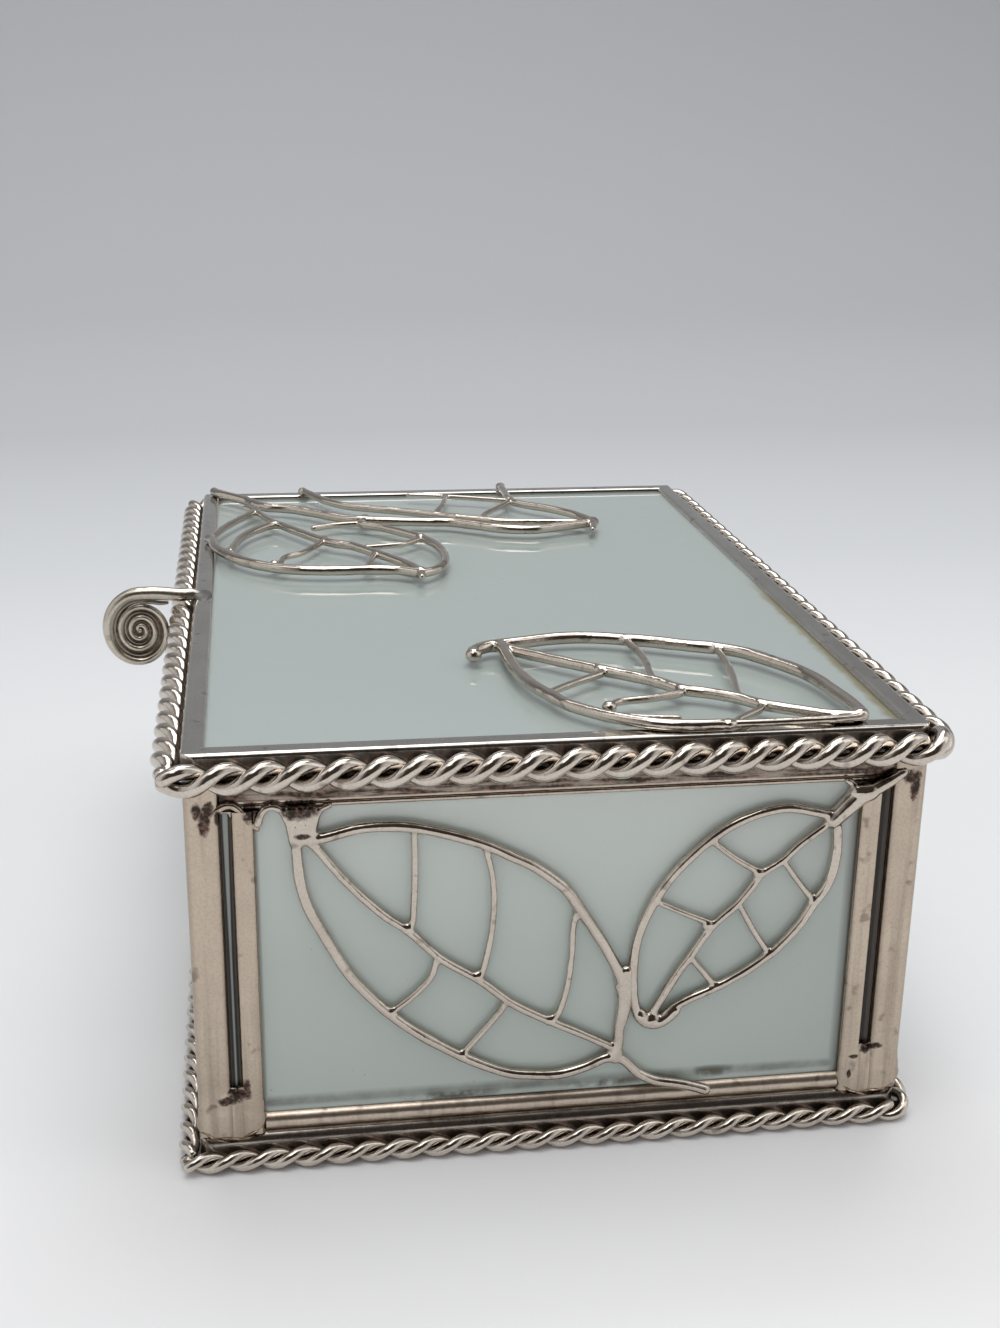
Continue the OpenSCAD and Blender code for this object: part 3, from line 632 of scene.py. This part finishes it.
def trim(name, side, rope_d, pitch, z, body):
    """Two strands that wind round each other along one side."""
    bm = bmesh.new()
    strand_r = rope_d / 4 - 0.01
    out = rope_d / 2 + FILM
    length = trim_length(side, out)
    start = trim_start(side, out)
    count = int(length / pitch * STRAND_STEPS)
    for phase in (0, math.pi):
        path, radii, inward = [], [], []
        for i in range(count + 1):
            s = length * i / count
            centre, outward = trim_place(side, s, out)
            wobble = noise.noise(Vector((start + s, side * 7.0, phase)) * 0.13)
            f = 2 * math.pi * (start + s) / pitch
            spread, height, thick = 1.0 + 0.02 * wobble, 1.0, 0.985 + 0.015 * wobble
            # The near end's lid trim is taller than it is deep, and more so towards its end
            if body == "lid" and side == 1:
                f, apart = loose(s, f)
                share = s / length
                spread = 0.93 * apart
                height = 1.28 + 0.12 * share
                thick = 1.04 + 0.03 * share
            if body == "lid" and side == 0:
                spread = spread * (0.25 + 0.75 * min(1.0, (length - s) / PINCH))
            f += phase + 0.18 * wobble
            lean = outward * math.cos(f) + Vector((0, 0, height * math.sin(f)))
            path.append(at(*(centre + lean * strand_r * spread + Vector((0, 0, z)))))
            radii.append(strand_r * thick * MM)
            inward.append(-lean.normalized())
        # Each strand gets painted shade on the skin that faces the other, in the crease
        tube(bm, path, radii, STRAND_SIDES, inward[0], inward)
    return finish_mesh(bm, name, rope_mat, body)


for number, side_name in enumerate(SIDES):
    lid_trim = trim(side_name + "_lid_twist", number, LID_ROPE_D, LID_ROPE_PITCH,
                    LID_ROPE_Z, "lid")
    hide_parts("lid_" + side_name + "_trim")
    base_trim = trim(side_name + "_base_twist", number, BASE_ROPE_D, BASE_ROPE_PITCH,
                     BASE_ROPE_Z, "body")
    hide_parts("base_" + side_name + "_trim")

# ------------------------------------------------------------------ leaves
# Each wire is a list of points in the leaf's own plane, in mm, with its diameter at the start
# and at the end. Each drop of solder is a place, a diameter and a flatness.
WIRE_GROWTH = 1.14
WIRE_STEP = 0.8
WIRE_SIDES = 10
WIRE_VOXEL = 0.19 * MM
WIRE_FLOW = 6


def fuse(obj, voxel, flow):
    """Melts the crossing strokes of a piece into one skin, with a number of smoothing rounds."""
    remesh = obj.modifiers.new("fuse", "REMESH")
    remesh.mode = "VOXEL"
    remesh.voxel_size = voxel
    remesh.use_smooth_shade = True
    smooth = obj.modifiers.new("flow", "SMOOTH")
    smooth.factor = 0.5
    smooth.iterations = flow


def leaf(name, place, wires, drops, body, node):
    """A leaf of fused wires. Fusing thins them, so that they start out thicker by WIRE_GROWTH."""
    bm = bmesh.new()
    normal = place(0, 0, 1) - place(0, 0, 0)
    for points, d0, d1 in wires:
        flat = spline([Vector((x, y, 0)) for x, y in points], WIRE_STEP)
        last = len(flat) - 1
        radii = []
        for i, p in enumerate(flat):
            uneven = 1 + 0.07 * noise.noise(p * 0.35 + Vector((3.1, 0, 0)))
            radii.append((d0 + (d1 - d0) * i / last) / 2 * uneven * WIRE_GROWTH)
        path = [place(p.x, p.y, 0) for p in flat]
        tube(bm, path, [r * MM for r in radii], WIRE_SIDES, normal.normalized())
    for x, y, d, flatness in drops:
        squash = [flatness if abs(c) > 0.5 * MM else 1.0 for c in normal]
        ball(bm, place(x, y, 0), d / 2 * MM, squash)
    obj = finish_mesh(bm, name, wire_mat, body)
    fuse(obj, WIRE_VOXEL, WIRE_FLOW)
    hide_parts(node)


# Middle of the wires that lie on the right end's pane, and of those on the lid
WALL_LEAF_X = WALL_X + 0.75 + FILM
LID_LEAF_Z = LID_TOP + 0.85 + FILM


def on_right_wall(a, b, c):
    return at(WALL_LEAF_X + c, a, b)


def on_lid(a, b, c):
    return at(-b, a, LID_LEAF_Z + c)


leaf("right_end_large_leaf", on_right_wall, [
    ([(-34.5, 49.5), (-32.3, 49.8), (-28, 50.8), (-24, 50.9), (-20.5, 50.5), (-16, 49.3),
      (-11, 47.5), (-7, 45.4), (-4, 43.7), (0, 40.4), (2, 37.5), (4.2, 34), (6.5, 30), (8.3, 26),
      (8.8, 22), (8.5, 18), (8.4, 15), (8, 13)], 1.5, 1.5),
    ([(-36, 49.5), (-36.2, 48.5), (-35.9, 44), (-35, 40), (-33.2, 36), (-30.1, 30), (-28, 27),
      (-24.2, 22.7), (-20, 19.1), (-14, 15.1), (-8, 12.1), (-4, 11.3), (0, 11.1), (4, 12.1), (6.5, 13.2),
      (8.3, 13.2)], 1.5, 1.45),
    ([(-34.6, 49.2), (-33.8, 48.5), (-29.5, 42.8), (-25, 38), (-21.5, 35.2), (-17, 30.7), (-11.7, 27),
      (-7, 23), (-1.8, 19.9), (3, 17.4), (7.5, 14.9)], 1.15, 1.25),
    ([(-20.6, 50.2), (-20.5, 44), (-20.8, 36.5), (-21.3, 35.5)], 0.9, 0.95),
    ([(-11, 47.1), (-10, 43), (-9.7, 39), (-10, 34), (-11, 28.8), (-11.6, 27.4)], 0.85, 0.95),
    ([(2, 37.2), (1.4, 34), (1.3, 30), (0.8, 25), (-0.3, 21), (-1.5, 19.8)], 0.8, 0.95),
    ([(-17.5, 31), (-17.7, 29.8), (-18.5, 27.6), (-21, 25), (-23.7, 22.9)], 0.95, 0.9),
    ([(-7.8, 23.3), (-8.3, 22.3), (-10.5, 19.5), (-13.8, 15.6)], 0.9, 0.95),
    ([(8.3, 13.3), (9.7, 12.2), (11.5, 10.3), (14, 8.9), (17, 8.2), (19.5, 7.5), (21.6, 6.7)], 1.3, 1.5),
    ([(9.3, 27.0), (9.5, 24), (9.3, 21), (8.8, 18.5)], 1.5, 1.3),
    ([(-36.4, 49.2), (-36.9, 52.2), (-37.0, 54.0)], 1.5, 1.4),
    ([(-35.4, 49.4), (-35.6, 52), (-35.6, 54.0)], 1.6, 1.5),
    ([(-34.2, 50), (-34.2, 52), (-34.2, 54.0)], 1.6, 1.5),
    ([(-37.2, 52.0), (-37.7, 53.4), (-38.5, 54.3), (-39.3, 54.5), (-40.1, 54.3), (-40.8, 53.4),
      (-41.1, 52.2)], 1.0, 1.1),
    ([(-33.7, 51.6), (-33.4, 53.0), (-32.8, 53.9), (-31.8, 54.35)], 1.0, 0.9),
], [
    (-35.4, 50.8, 3.4, 0.5), (-24, 22.8, 2.0, 0.8), (-14, 15.2, 2.0, 0.8), (-21.5, 35.5, 1.9, 0.8),
    (-11.9, 27.5, 1.9, 0.8), (-1.6, 19.9, 1.8, 0.8), (8.1, 13.9, 2.5, 0.7), (8.6, 24.6, 2.2, 0.7),
    (-20.6, 50.3, 1.7, 0.8), (-10.9, 47.2, 1.6, 0.8), (2.1, 37.2, 1.6, 0.8),
], "body", "right_large_leaf")

leaf("right_end_small_leaf", on_right_wall, [
    ([(37.8, 49.2), (35, 49.9), (31, 50.7), (27, 50.1), (23.5, 48.7), (20.5, 46.7), (17, 43.5),
      (14.5, 40.5), (12.7, 37.5), (11.2, 34), (10.3, 30), (10.2, 25), (10.6, 21.6), (11.3, 19.6),
      (12.5, 18.5), (13.9, 18.3), (15.2, 19.2)], 1.4, 1.3),
    ([(38, 48.6), (38.3, 47), (38.5, 44), (38.1, 40.5), (37.2, 38), (35.8, 36), (33.9, 32.7), (31, 29.3),
      (29.5, 28), (26.5, 25.8), (22.5, 23.6), (18.5, 21.9), (16.2, 20.6), (15.0, 19.4)], 1.4, 1.3),
    ([(37.4, 48.4), (36, 47.3), (33, 45), (30.8, 42.8), (28, 41), (27, 39.6), (24.8, 36.6), (22, 34),
      (20.5, 32.2), (18.3, 28.7), (16.5, 26), (13.6, 20.7), (13.2, 19.6)], 1.05, 1.2),
    ([(11.4, 19.8), (12.3, 18.7), (13.8, 18.4), (15.2, 19.1), (16.4, 20.2)], 1.9, 1.7),
    ([(20.9, 45.9), (24, 43.4), (27.5, 41.2)], 0.85, 0.95),
    ([(13.2, 37.4), (17, 35.5), (20.7, 33.8)], 0.8, 0.95),
    ([(31.1, 42.4), (33.3, 39.3), (35.6, 36.4)], 0.85, 0.9),
    ([(25.1, 36), (27.3, 32), (29.6, 28.5)], 0.85, 0.9),
    ([(18.5, 28.2), (20.3, 26), (22, 23.8)], 0.85, 0.9),
    ([(37.6, 48.6), (39.3, 50.4), (40.9, 51.9), (42.4, 52.7)], 2.3, 2.7),
    ([(40.9, 52.6), (42.9, 53.0), (45.1, 54.1), (47.1, 55.3)], 2.6, 1.5),
    ([(40.7, 52.6), (40.3, 53.6), (39.3, 54.35)], 1.2, 0.9),
], [
    (37.5, 48.8, 2.5, 0.7), (20.6, 46.4, 1.8, 0.8), (13, 37.6, 1.7, 0.8), (27.5, 41, 1.9, 0.8),
    (20.6, 33.4, 1.9, 0.8), (35.7, 36.2, 1.7, 0.8), (29.8, 28.2, 1.7, 0.8), (22.2, 23.7, 1.6, 0.8),
    (13.2, 18.8, 2.6, 0.8), (18.3, 28.4, 1.6, 0.8),
], "body", "right_small_leaf")

leaf("lid_near_leaf_wire", on_lid, [
    ([(-8.3, -41.5), (-8.2, -39.8), (-6.4, -38), (-4, -37), (0, -36), (4, -34.9), (8, -34.5), (12, -35),
      (16, -36.3), (20, -37.8), (25, -40.3), (29, -42), (33, -45), (36, -49.5), (38.5, -54), (40, -59),
      (40.7, -64), (41.3, -68), (41.5, -72)], 1.8, 1.7),
    ([(-3.8, -37.6), (-3.5, -39), (-3.3, -44), (-2.9, -50), (-1.6, -56), (0.8, -62), (2, -64.5),
      (5, -68), (8, -70.5), (12, -72.8), (16, -73.9), (21, -74.1)], 1.7, 1.5),
    ([(-4, -38), (0, -41.8), (4, -45.5), (9, -50), (13, -53.3), (16.5, -56.5), (19, -60), (22, -61.5),
      (26, -64.2), (28.7, -67.3), (33, -70), (37, -72.3), (40.5, -73)], 1.6, 1.5),
    ([(16, -36.8), (16.8, -43), (16.8, -48), (16.3, -52), (16.2, -56)], 1.0, 1.0),
    ([(29, -42.4), (28.8, -48), (28, -55), (26.8, -61), (26.3, -64)], 1.0, 1.0),
    ([(9.4, -50.8), (9, -52), (5, -55), (2, -57.5), (0, -59.4)], 1.1, 1.0),
    ([(19.2, -60.6), (18.5, -61.5), (14, -63), (9, -64), (7.3, -66)], 1.1, 1.0),
    ([(28.4, -67.3), (28, -69), (24.5, -72), (22.5, -74)], 1.0, 1.0),
    ([(8.5, -69.5), (12, -70.4), (16, -71)], 0.9, 0.7),
    ([(22, -74.1), (30, -74.1), (37, -73.9), (40.8, -73.4)], 1.0, 1.1),
], [
    (-8.3, -41.3, 2.6, 0.9), (-4, -37.6, 2.3, 0.9), (16, -36.6, 2.0, 0.9), (29, -42.2, 2.0, 0.9),
    (9.2, -50.4, 2.1, 0.9), (0, -60, 2.0, 0.9), (19, -60.2, 2.1, 0.9), (7.3, -66, 2.2, 0.9),
    (28.5, -67.2, 2.0, 0.9), (16.3, -56.4, 1.9, 0.9), (26.4, -64.3, 1.9, 0.9),
    (22, -74, 2.2, 0.7), (41, -72.6, 2.6, 0.8),
], "lid", "lid_near_leaf")

leaf("lid_corner_leaf_wire", on_lid, [
    ([(-49, 33.2), (-48.3, 31.4), (-47.5, 26), (-45.5, 21), (-42.5, 16), (-38.5, 12), (-34, 9.5),
      (-29, 8.3), (-24, 8), (-19, 8), (-15, 7), (-11.8, 5)], 1.7, 1.6),
    ([(-11.5, 4.6), (-8.5, 7), (-6.5, 12), (-6, 18), (-6.7, 24), (-8.5, 29), (-9, 30), (-12.5, 34.5),
      (-16, 38.5), (-19.6, 41.5), (-18.6, 44.6)], 1.5, 1.4),
    ([(-29, 39), (-25, 41), (-20, 42)], 1.1, 1.1),
    ([(-48.4, 33), (-46.5, 40), (-44, 46), (-41, 52), (-40, 54), (-42, 57.4)], 1.3, 1.2),
    ([(-45, 22), (-44, 28), (-42.5, 34), (-39.5, 39.5), (-36, 42.5), (-33, 38), (-30, 33), (-27.5, 29),
      (-25, 26.5), (-22.5, 25), (-20, 21.5), (-17, 17), (-14, 12), (-11.8, 7)], 1.4, 1.5),
    ([(-27.5, 29), (-30, 24), (-32, 20.5), (-35, 18), (-36, 14), (-37, 12.6)], 1.0, 1.0),
    ([(-40, 54), (-38, 48), (-36, 43)], 1.2, 1.2),
    ([(-20.4, 23.4), (-15, 24.5), (-12.5, 25.5), (-9.4, 28.8)], 1.0, 1.0),
    ([(-18.6, 18.6), (-20, 13), (-21, 9)], 1.0, 1.0),
    ([(-11.6, 5.4), (-11.6, 2.6)], 1.6, 1.1),
], [
    (-48.6, 33, 2.2, 0.8), (-45, 22.4, 2.1, 0.9), (-40, 54, 2.1, 0.9), (-36.3, 43, 2.1, 0.9),
    (-27.4, 29.4, 2.1, 0.9), (-9, 29.6, 2.1, 0.9), (-37, 13, 2.0, 0.9), (-11.6, 5.4, 2.5, 0.9),
], "lid", "lid_corner_leaf")

leaf("lid_far_leaf_wire", on_lid, [
    ([(-48.6, 73), (-47, 70), (-42, 64), (-38, 57.6), (-33, 55.6), (-28, 51.4), (-24, 47.6), (-20, 45),
      (-12, 43), (-6, 42), (-2, 41.5), (2, 39), (6, 36), (10, 34.5), (14, 34), (18, 35.5), (22, 37),
      (26, 38.5)], 1.7, 1.6),
    ([(-30, 72), (-26, 63), (-22, 57.5), (-16, 54), (-10, 51), (-4, 47.5), (0, 45), (4, 43), (8, 41),
      (14, 40), (20, 39.3), (26, 38.4)], 1.4, 1.4),
    ([(26.3, 39), (24.5, 44), (22, 48), (19, 51.5), (15, 55), (12.6, 59), (12.6, 66),
      (12.6, 73)], 1.5, 1.4),
    ([(12.5, 58.6), (3, 62.6), (-4, 65), (-8, 66)], 1.0, 0.9),
    ([(12.3, 57.6), (8, 51), (5.5, 47), (4.8, 43)], 1.0, 1.0),
    ([(-0.4, 63.4), (-2, 56), (-4.6, 48.4)], 1.0, 1.0),
    ([(26.2, 38.6), (25.6, 35.4), (25, 33)], 1.7, 1.1),
], [
    (-18.6, 45.6, 2.3, 0.9), (26.2, 38.8, 2.6, 0.9), (12.6, 59, 2.1, 0.9), (-42, 64.4, 2.1, 0.9),
    (-0.2, 45.2, 1.9, 0.9), (5, 43, 1.9, 0.9), (-30, 71.6, 2.1, 0.8), (12.6, 72.6, 2.1, 0.8),
], "lid", "lid_far_leaf")

# ------------------------------------------------------------------ finger tab
# Place along the box, wire diameter, turns of the spiral, its radius, how much taller than wide
# it is, and the distance from its heart to its last turn, at the top
TAB_X = 2.0
TAB_WIRE = 2.2
TAB_TURNS = 3.25
TAB_R = 5.25
TAB_RISE = 1.13
TAB_TOP_REACH = 5.82
TAB_TOP = LID_ROPE_Z + LID_ROPE_D / 2 + 0.6 + TAB_WIRE * 0.41
TAB_CY = -(BOX_W / 2 + LID_ROPE_D + FILM + 0.2 + TAB_R * 0.94)
TAB_CZ = TAB_TOP - TAB_TOP_REACH * TAB_RISE
# The spiral is wound from two wires: turns from the heart, distance, diameter
THICK_WIRE = [(0.1, 0.5, 0.7), (0.25, 0.85, 0.75), (0.5, 1.05, 0.8), (0.75, 1.22, 0.8),
              (1.0, 1.55, 0.85), (1.25, 2.08, 0.95), (1.5, 2.5, 1.0), (1.75, 2.8, 1.05),
              (2.0, 3.22, 1.15), (2.25, 3.72, 1.05), (2.5, 4.35, 1.1), (2.75, 4.8, 1.35),
              (3.0, 5.2, 1.95), (3.25, 5.78, 2.25)]
THIN_WIRE = [(1.25, 1.45, 0.45), (1.5, 1.8, 0.5), (1.75, 2.05, 0.55), (2.0, 2.4, 0.6),
             (2.25, 2.92, 0.65), (2.5, 3.4, 0.75), (2.75, 3.85, 0.75), (3.0, 4.2, 0.8),
             (3.25, 4.6, 0.7)]
# Solder has run in behind the two wires and closes the gaps between them
# Its front gets the darkest painted shade, so the gaps between the turns read dark
FILL = [(0.2, 0.3, 0.7), (0.7, 0.75, 0.9), (1.2, 1.35, 1.0), (1.5, 1.75, 1.05),
        (2.0, 2.36, 1.05), (2.25, 2.9, 1.15), (2.5, 3.4, 1.4), (2.75, 3.75, 1.2),
        (3.0, 4.1, 1.0), (3.25, 4.5, 0.8)]


def finger_tab():
    bm = bmesh.new()
    front = -BOX_W / 2
    arm = [(TAB_CY + 3, TAB_TOP - 0.05, 2.3), (front - 2.05, LID_TOP + 0.2, 2.2),
           (front - 0.8, LID_TOP + 0.3, 2.1), (front + 0.4, LID_TOP + 0.05, 1.9),
           (front + 1.7, LID_TOP - 0.5, 1.6)]
    tail = [(TAB_CY + 2.2, TAB_CZ + 4.95, 0.8), (TAB_CY + 3.6, TAB_CZ + 4.75, 0.8),
            (TAB_CY + 4.7, TAB_CZ + 4.75, 0.6)]
    # Turns, straight end, how far set back, and how dark the painted shade is on the skin that
    # faces the near end. Below 0 it is the other side that is painted dark.
    strands = ((THICK_WIRE, arm, 0, -1), (THIN_WIRE, tail, 0.2, 0.75), (FILL, tail[:1], 0.45, 1))
    for turned, straight, behind, dark in strands:
        points = []
        for turns, reach, d in spline([Vector(t) for t in turned], 0.04):
            a = math.radians(90 + 360 * (TAB_TURNS - turns))
            z = TAB_CZ + TAB_RISE * reach * math.sin(a)
            points.append(Vector((TAB_CY + reach * math.cos(a), z, d)))
        points = points[:-1] + spline([points[-1]] + [Vector(t) for t in straight], 0.4)
        path = [at(TAB_X - behind, y, z) for y, z, d in points]
        tube(bm, path, [d / 2 * MM for y, z, d in points], 16, Vector((1, 0, 0)),
             [Vector((dark, 0, 0))] * len(path))
    ball(bm, at(TAB_X, TAB_CY, TAB_CZ), 0.42 * MM)
    obj = finish_mesh(bm, "spiral_tab", tab_mat, "lid")
    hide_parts("finger_tab")


finger_tab()


# ------------------------------------------------------------------ runs of solder
def fused_solder(name, build, voxel=0.22 * MM, flow=8, material=solder_mat, body="body"):
    """A run of solder that has flowed together from several strokes."""
    bm = bmesh.new()
    build(bm)
    obj = finish_mesh(bm, name, material, body)
    fuse(obj, voxel, flow)


def stroke(bm, x, points):
    """A flat stroke of solder on the near end, through places with a diameter."""
    line = spline([Vector(p) for p in points], 0.5)
    radii = [d / 2 * MM for y, z, d in line]
    tube(bm, [at(x, y, z) for y, z, d in line], radii, 12, Vector((1, 0, 0)))


def tab_root(bm):
    """The arm of the finger tab melts into the lid frame's strip."""
    front = -BOX_W / 2
    ball(bm, at(TAB_X, front + 1.55, LID_TOP - 0.15), 1.0 * MM, (3.6, 1.6, 0.6))
    ball(bm, at(TAB_X, front + 0.9, LID_TOP), 1.0 * MM, (2.0, 1.4, 0.75))


fused_solder("tab_root_solder", tab_root, 0.2 * MM, 20, root_mat, "lid")


# Middle of the solder that lies over the posts and rods of the near end
NEAR_FACE = 74.35
# Solder that has run together at the foot of a post and its rod: place across the end and up,
# and reach across, up and out
FOOT_BLOBS = [(46.2, 7.1, 5.0, 3.8, 1.2), (46.4, 8.6, 4.6, 4.0, 0.95), (43.4, 9.0, 2.0, 4.2, 0.8),
              (48.5, 9.2, 2.3, 5.0, 0.85), (43.1, 12, 1.5, 10, 0.62), (48.5, 12, 2.1, 11, 0.64)]


def foot_solder(sign):
    def build(bm):
        for y, z, ry, rz, rx in FOOT_BLOBS:
            ball(bm, at(NEAR_FACE, sign * y, z), 1.0 * MM, (rx, ry, rz))
    return build


fused_solder("near_front_foot_solder", foot_solder(-1))
fused_solder("near_back_foot_solder", foot_solder(1))


def slit_arch(bm):
    """Solder that closes the top of the front slit."""
    stroke(bm, NEAR_FACE, [(-48.2, 52.4, 1.2), (-47.2, 53.7, 1.3), (-46.0, 54.5, 1.3),
                           (-44.8, 54.9, 1.2), (-43.8, 54.4, 1.2), (-42.9, 53.2, 1.3),
                           (-42.2, 51.6, 1.2)])
    stroke(bm, 74.3, [(-41.2, 51.2, 0.8), (-41.15, 52.6, 1.0), (-40.9, 53.4, 0.9)])


fused_solder("slit_arch_solder", slit_arch)

# ------------------------------------------------------------------ looks of the solids
# The first of these words that is in a solid's name gives its material
LOOKS = [("lid_glass", lid_glass_mat), ("base_glass", base_glass_mat), ("_glass", wall_glass_mat),
         ("_foot_bar", foot_bar_mat), ("_rim", rim_mat), ("base_", base_mat),
         ("hinge", hinge_mat), ("lid_", strip_mat), ("", solder_mat)]

for name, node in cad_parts.items():
    node.data.materials.clear()
    node.data.materials.append([material for word, material in LOOKS if word in name][0])

# ------------------------------------------------------------------ studio
# The sweep in metres: front edge, where it starts to curve up, radius, top and half its width
SWEEP_FRONT = 1.6
SWEEP_BEND = -0.9
SWEEP_CURVE = 0.5
SWEEP_TOP = 2.2
SWEEP_SIDE = 2.4
SWEEP_BACK = -1.4
# Its paint from the back edge to the box and beyond: how far, how pale, how cool
PAINT_REACH = 1.6
# Painted shade: the sweep's paint darkens from the box towards the back and up the backdrop
TABLE_FADE = [(0.30, 0.525, 0.03), (0.58, 0.515, 0.03), (0.72, 0.64, 0.03),
              (0.82, 0.79, 0.015), (1.0, 0.86, 0.0)]
CLOUDY = (0.70, 0.69, 0.68)
# What the metal mirrors, from the front horizon over the top to the back, and at both ends
ROOM = [(0.0, (0.16, 0.135, 0.12)), (0.03, (0.05, 0.04, 0.034)), (0.29, (0.06, 0.052, 0.046)),
        (0.36, (0.22, 0.21, 0.20)), (0.40, (1.6, 1.6, 1.62)), (0.50, (1.6, 1.6, 1.6)),
        (0.54, (0.34, 0.335, 0.33)), (0.66, (0.18, 0.175, 0.17)), (0.78, (0.40, 0.40, 0.395)),
        (0.84, (0.52, 0.52, 0.515)), (1.0, (0.48, 0.48, 0.475))]
ROOM_ENDS = (0.70, 0.695, 0.695)


def table_paint():
    mat, tree, shader = new_material("table_paint")
    vector = object_coordinates(tree)
    split = tree.nodes.new("ShaderNodeSeparateXYZ")
    tree.links.new(vector, split.inputs[0])
    depth = rise(tree, split.outputs["X"], SWEEP_BACK, SWEEP_BACK + PAINT_REACH)
    fade = ramp_node(tree, depth, [(stop, (v * (1 - cool), v, v * (1.01 + cool)))
                                   for stop, v, cool in TABLE_FADE])
    cloud = product(tree, noise_node(tree, vector, 3, 2).outputs["Fac"], 0.06)
    tree.links.new(mix_colour(tree, cloud, fade.outputs["Color"], CLOUDY),
                   shader.inputs["Base Color"])
    shader.inputs["Roughness"].default_value = 0.75
    shader.inputs["Specular IOR Level"].default_value = 0.2
    return mat


def stage_sweep():
    """A pale table that curves up into a backdrop."""
    bm = bmesh.new()
    profile = [(SWEEP_FRONT, 0.0), (SWEEP_BEND, 0.0)]
    for k in range(1, 13):
        a = math.radians(90 * k / 12)
        profile.append((SWEEP_BEND - SWEEP_CURVE * math.sin(a),
                        SWEEP_CURVE - SWEEP_CURVE * math.cos(a)))
    profile.append((SWEEP_BACK, SWEEP_TOP))
    line = [bm.verts.new((x, -SWEEP_SIDE, z)) for x, z in profile]
    edges = [bm.edges.new(pair) for pair in zip(line, line[1:])]
    swept = bmesh.ops.extrude_edge_only(bm, edges=edges)["geom"]
    moved = [part for part in swept if isinstance(part, bmesh.types.BMVert)]
    bmesh.ops.translate(bm, vec=(0, 2 * SWEEP_SIDE, 0), verts=moved)
    new_object(bm, "table_sweep", table_paint())


stage_sweep()


def studio_room():
    """The room around the table, which the metal mirrors."""
    world = bpy.data.worlds.new("studio")
    bpy.context.scene.world = world
    world.use_nodes = True
    tree = world.node_tree
    tree.nodes.clear()
    out = tree.nodes.new("ShaderNodeOutputWorld")
    back = tree.nodes.new("ShaderNodeBackground")
    split = tree.nodes.new("ShaderNodeSeparateXYZ")
    tree.links.new(tree.nodes.new("ShaderNodeTexCoord").outputs["Generated"], split.inputs[0])
    angle = math_node(tree, "ARCTAN2", split.outputs["Z"], split.outputs["X"])
    room = ramp_node(tree, product(tree, angle, 1 / math.pi), ROOM)
    ends = ramp_node(tree, size_of(tree, split.outputs["Y"]),
                     [(0.45, grey(0.0)), (0.80, grey(1.0))])
    colour = mix_colour(tree, ends.outputs["Color"], room.outputs["Color"], ROOM_ENDS)
    tree.links.new(colour, back.inputs["Color"])
    back.inputs["Strength"].default_value = 1.0
    tree.links.new(back.outputs["Background"], out.inputs["Surface"])


studio_room()


def area_light(name, place, target, size, power, mirrored=True):
    """A softbox, in metres and watts. One that isn't mirrored gives no highlight."""
    data = bpy.data.lights.new(name, "AREA")
    data.shape = "RECTANGLE"
    data.size, data.size_y = size
    data.energy = power
    obj = bpy.data.objects.new(name, data)
    bpy.context.scene.collection.objects.link(obj)
    obj.location = place
    obj.visible_glossy = mirrored
    obj.rotation_mode = "QUATERNION"
    obj.rotation_quaternion = (Vector(target) - Vector(place)).to_track_quat("-Z", "Y")


area_light("key_softbox", (-0.30, 0.08, 1.0), (0, 0, 0.03), (0.6, 0.5), 2.9)
area_light("front_softbox", (0.34, -0.15, 1.1), (0, 0, 0.03), (0.4, 0.9), 2.2)
area_light("front_fill", (0.9, -0.15, 0.62), (0, 0, 0.04), (0.5, 0.8), 1.35, False)
area_light("side_softbox", (0.2, 0.9, 0.6), (0, 0, 0.03), (0.4, 0.5), 0.35)
area_light("back_wash", (-0.8, 0.0, 1.4), (-1.2, 0, 0.4), (1.6, 0.5), 4)

# ------------------------------------------------------------------ camera
# Fitted to corners of the lid, the posts and the base trim in the photo
YAW = math.radians(-8.652)
PITCH = math.radians(18.762)
ROLL = math.radians(0.771)
CAMERA_PLACE = (275.054, -39.822, 141.933)
FOCAL_PX = 1651.84
PHOTO_W = 1000
SENSOR_W = 36


def photo_camera():
    forward = Vector((-math.cos(PITCH) * math.cos(YAW), -math.cos(PITCH) * math.sin(YAW),
                      -math.sin(PITCH)))
    right = Vector((-math.sin(YAW), math.cos(YAW), 0))
    up = right.cross(forward)
    right_rolled = right * math.cos(ROLL) + up * math.sin(ROLL)
    up_rolled = up * math.cos(ROLL) - right * math.sin(ROLL)
    data = bpy.data.cameras.new("photo_camera")
    data.sensor_fit = "HORIZONTAL"
    data.sensor_width = SENSOR_W
    data.lens = FOCAL_PX * SENSOR_W / PHOTO_W
    data.clip_start = 0.01
    data.clip_end = 20
    camera = bpy.data.objects.new("photo_camera", data)
    bpy.context.scene.collection.objects.link(camera)
    turn = Matrix((right_rolled, up_rolled, -forward)).transposed()
    camera.matrix_world = Matrix.Translation(at(*CAMERA_PLACE)) @ turn.to_4x4()
    bpy.context.scene.camera = camera


photo_camera()
bpy.context.scene.view_settings.view_transform = "Standard"
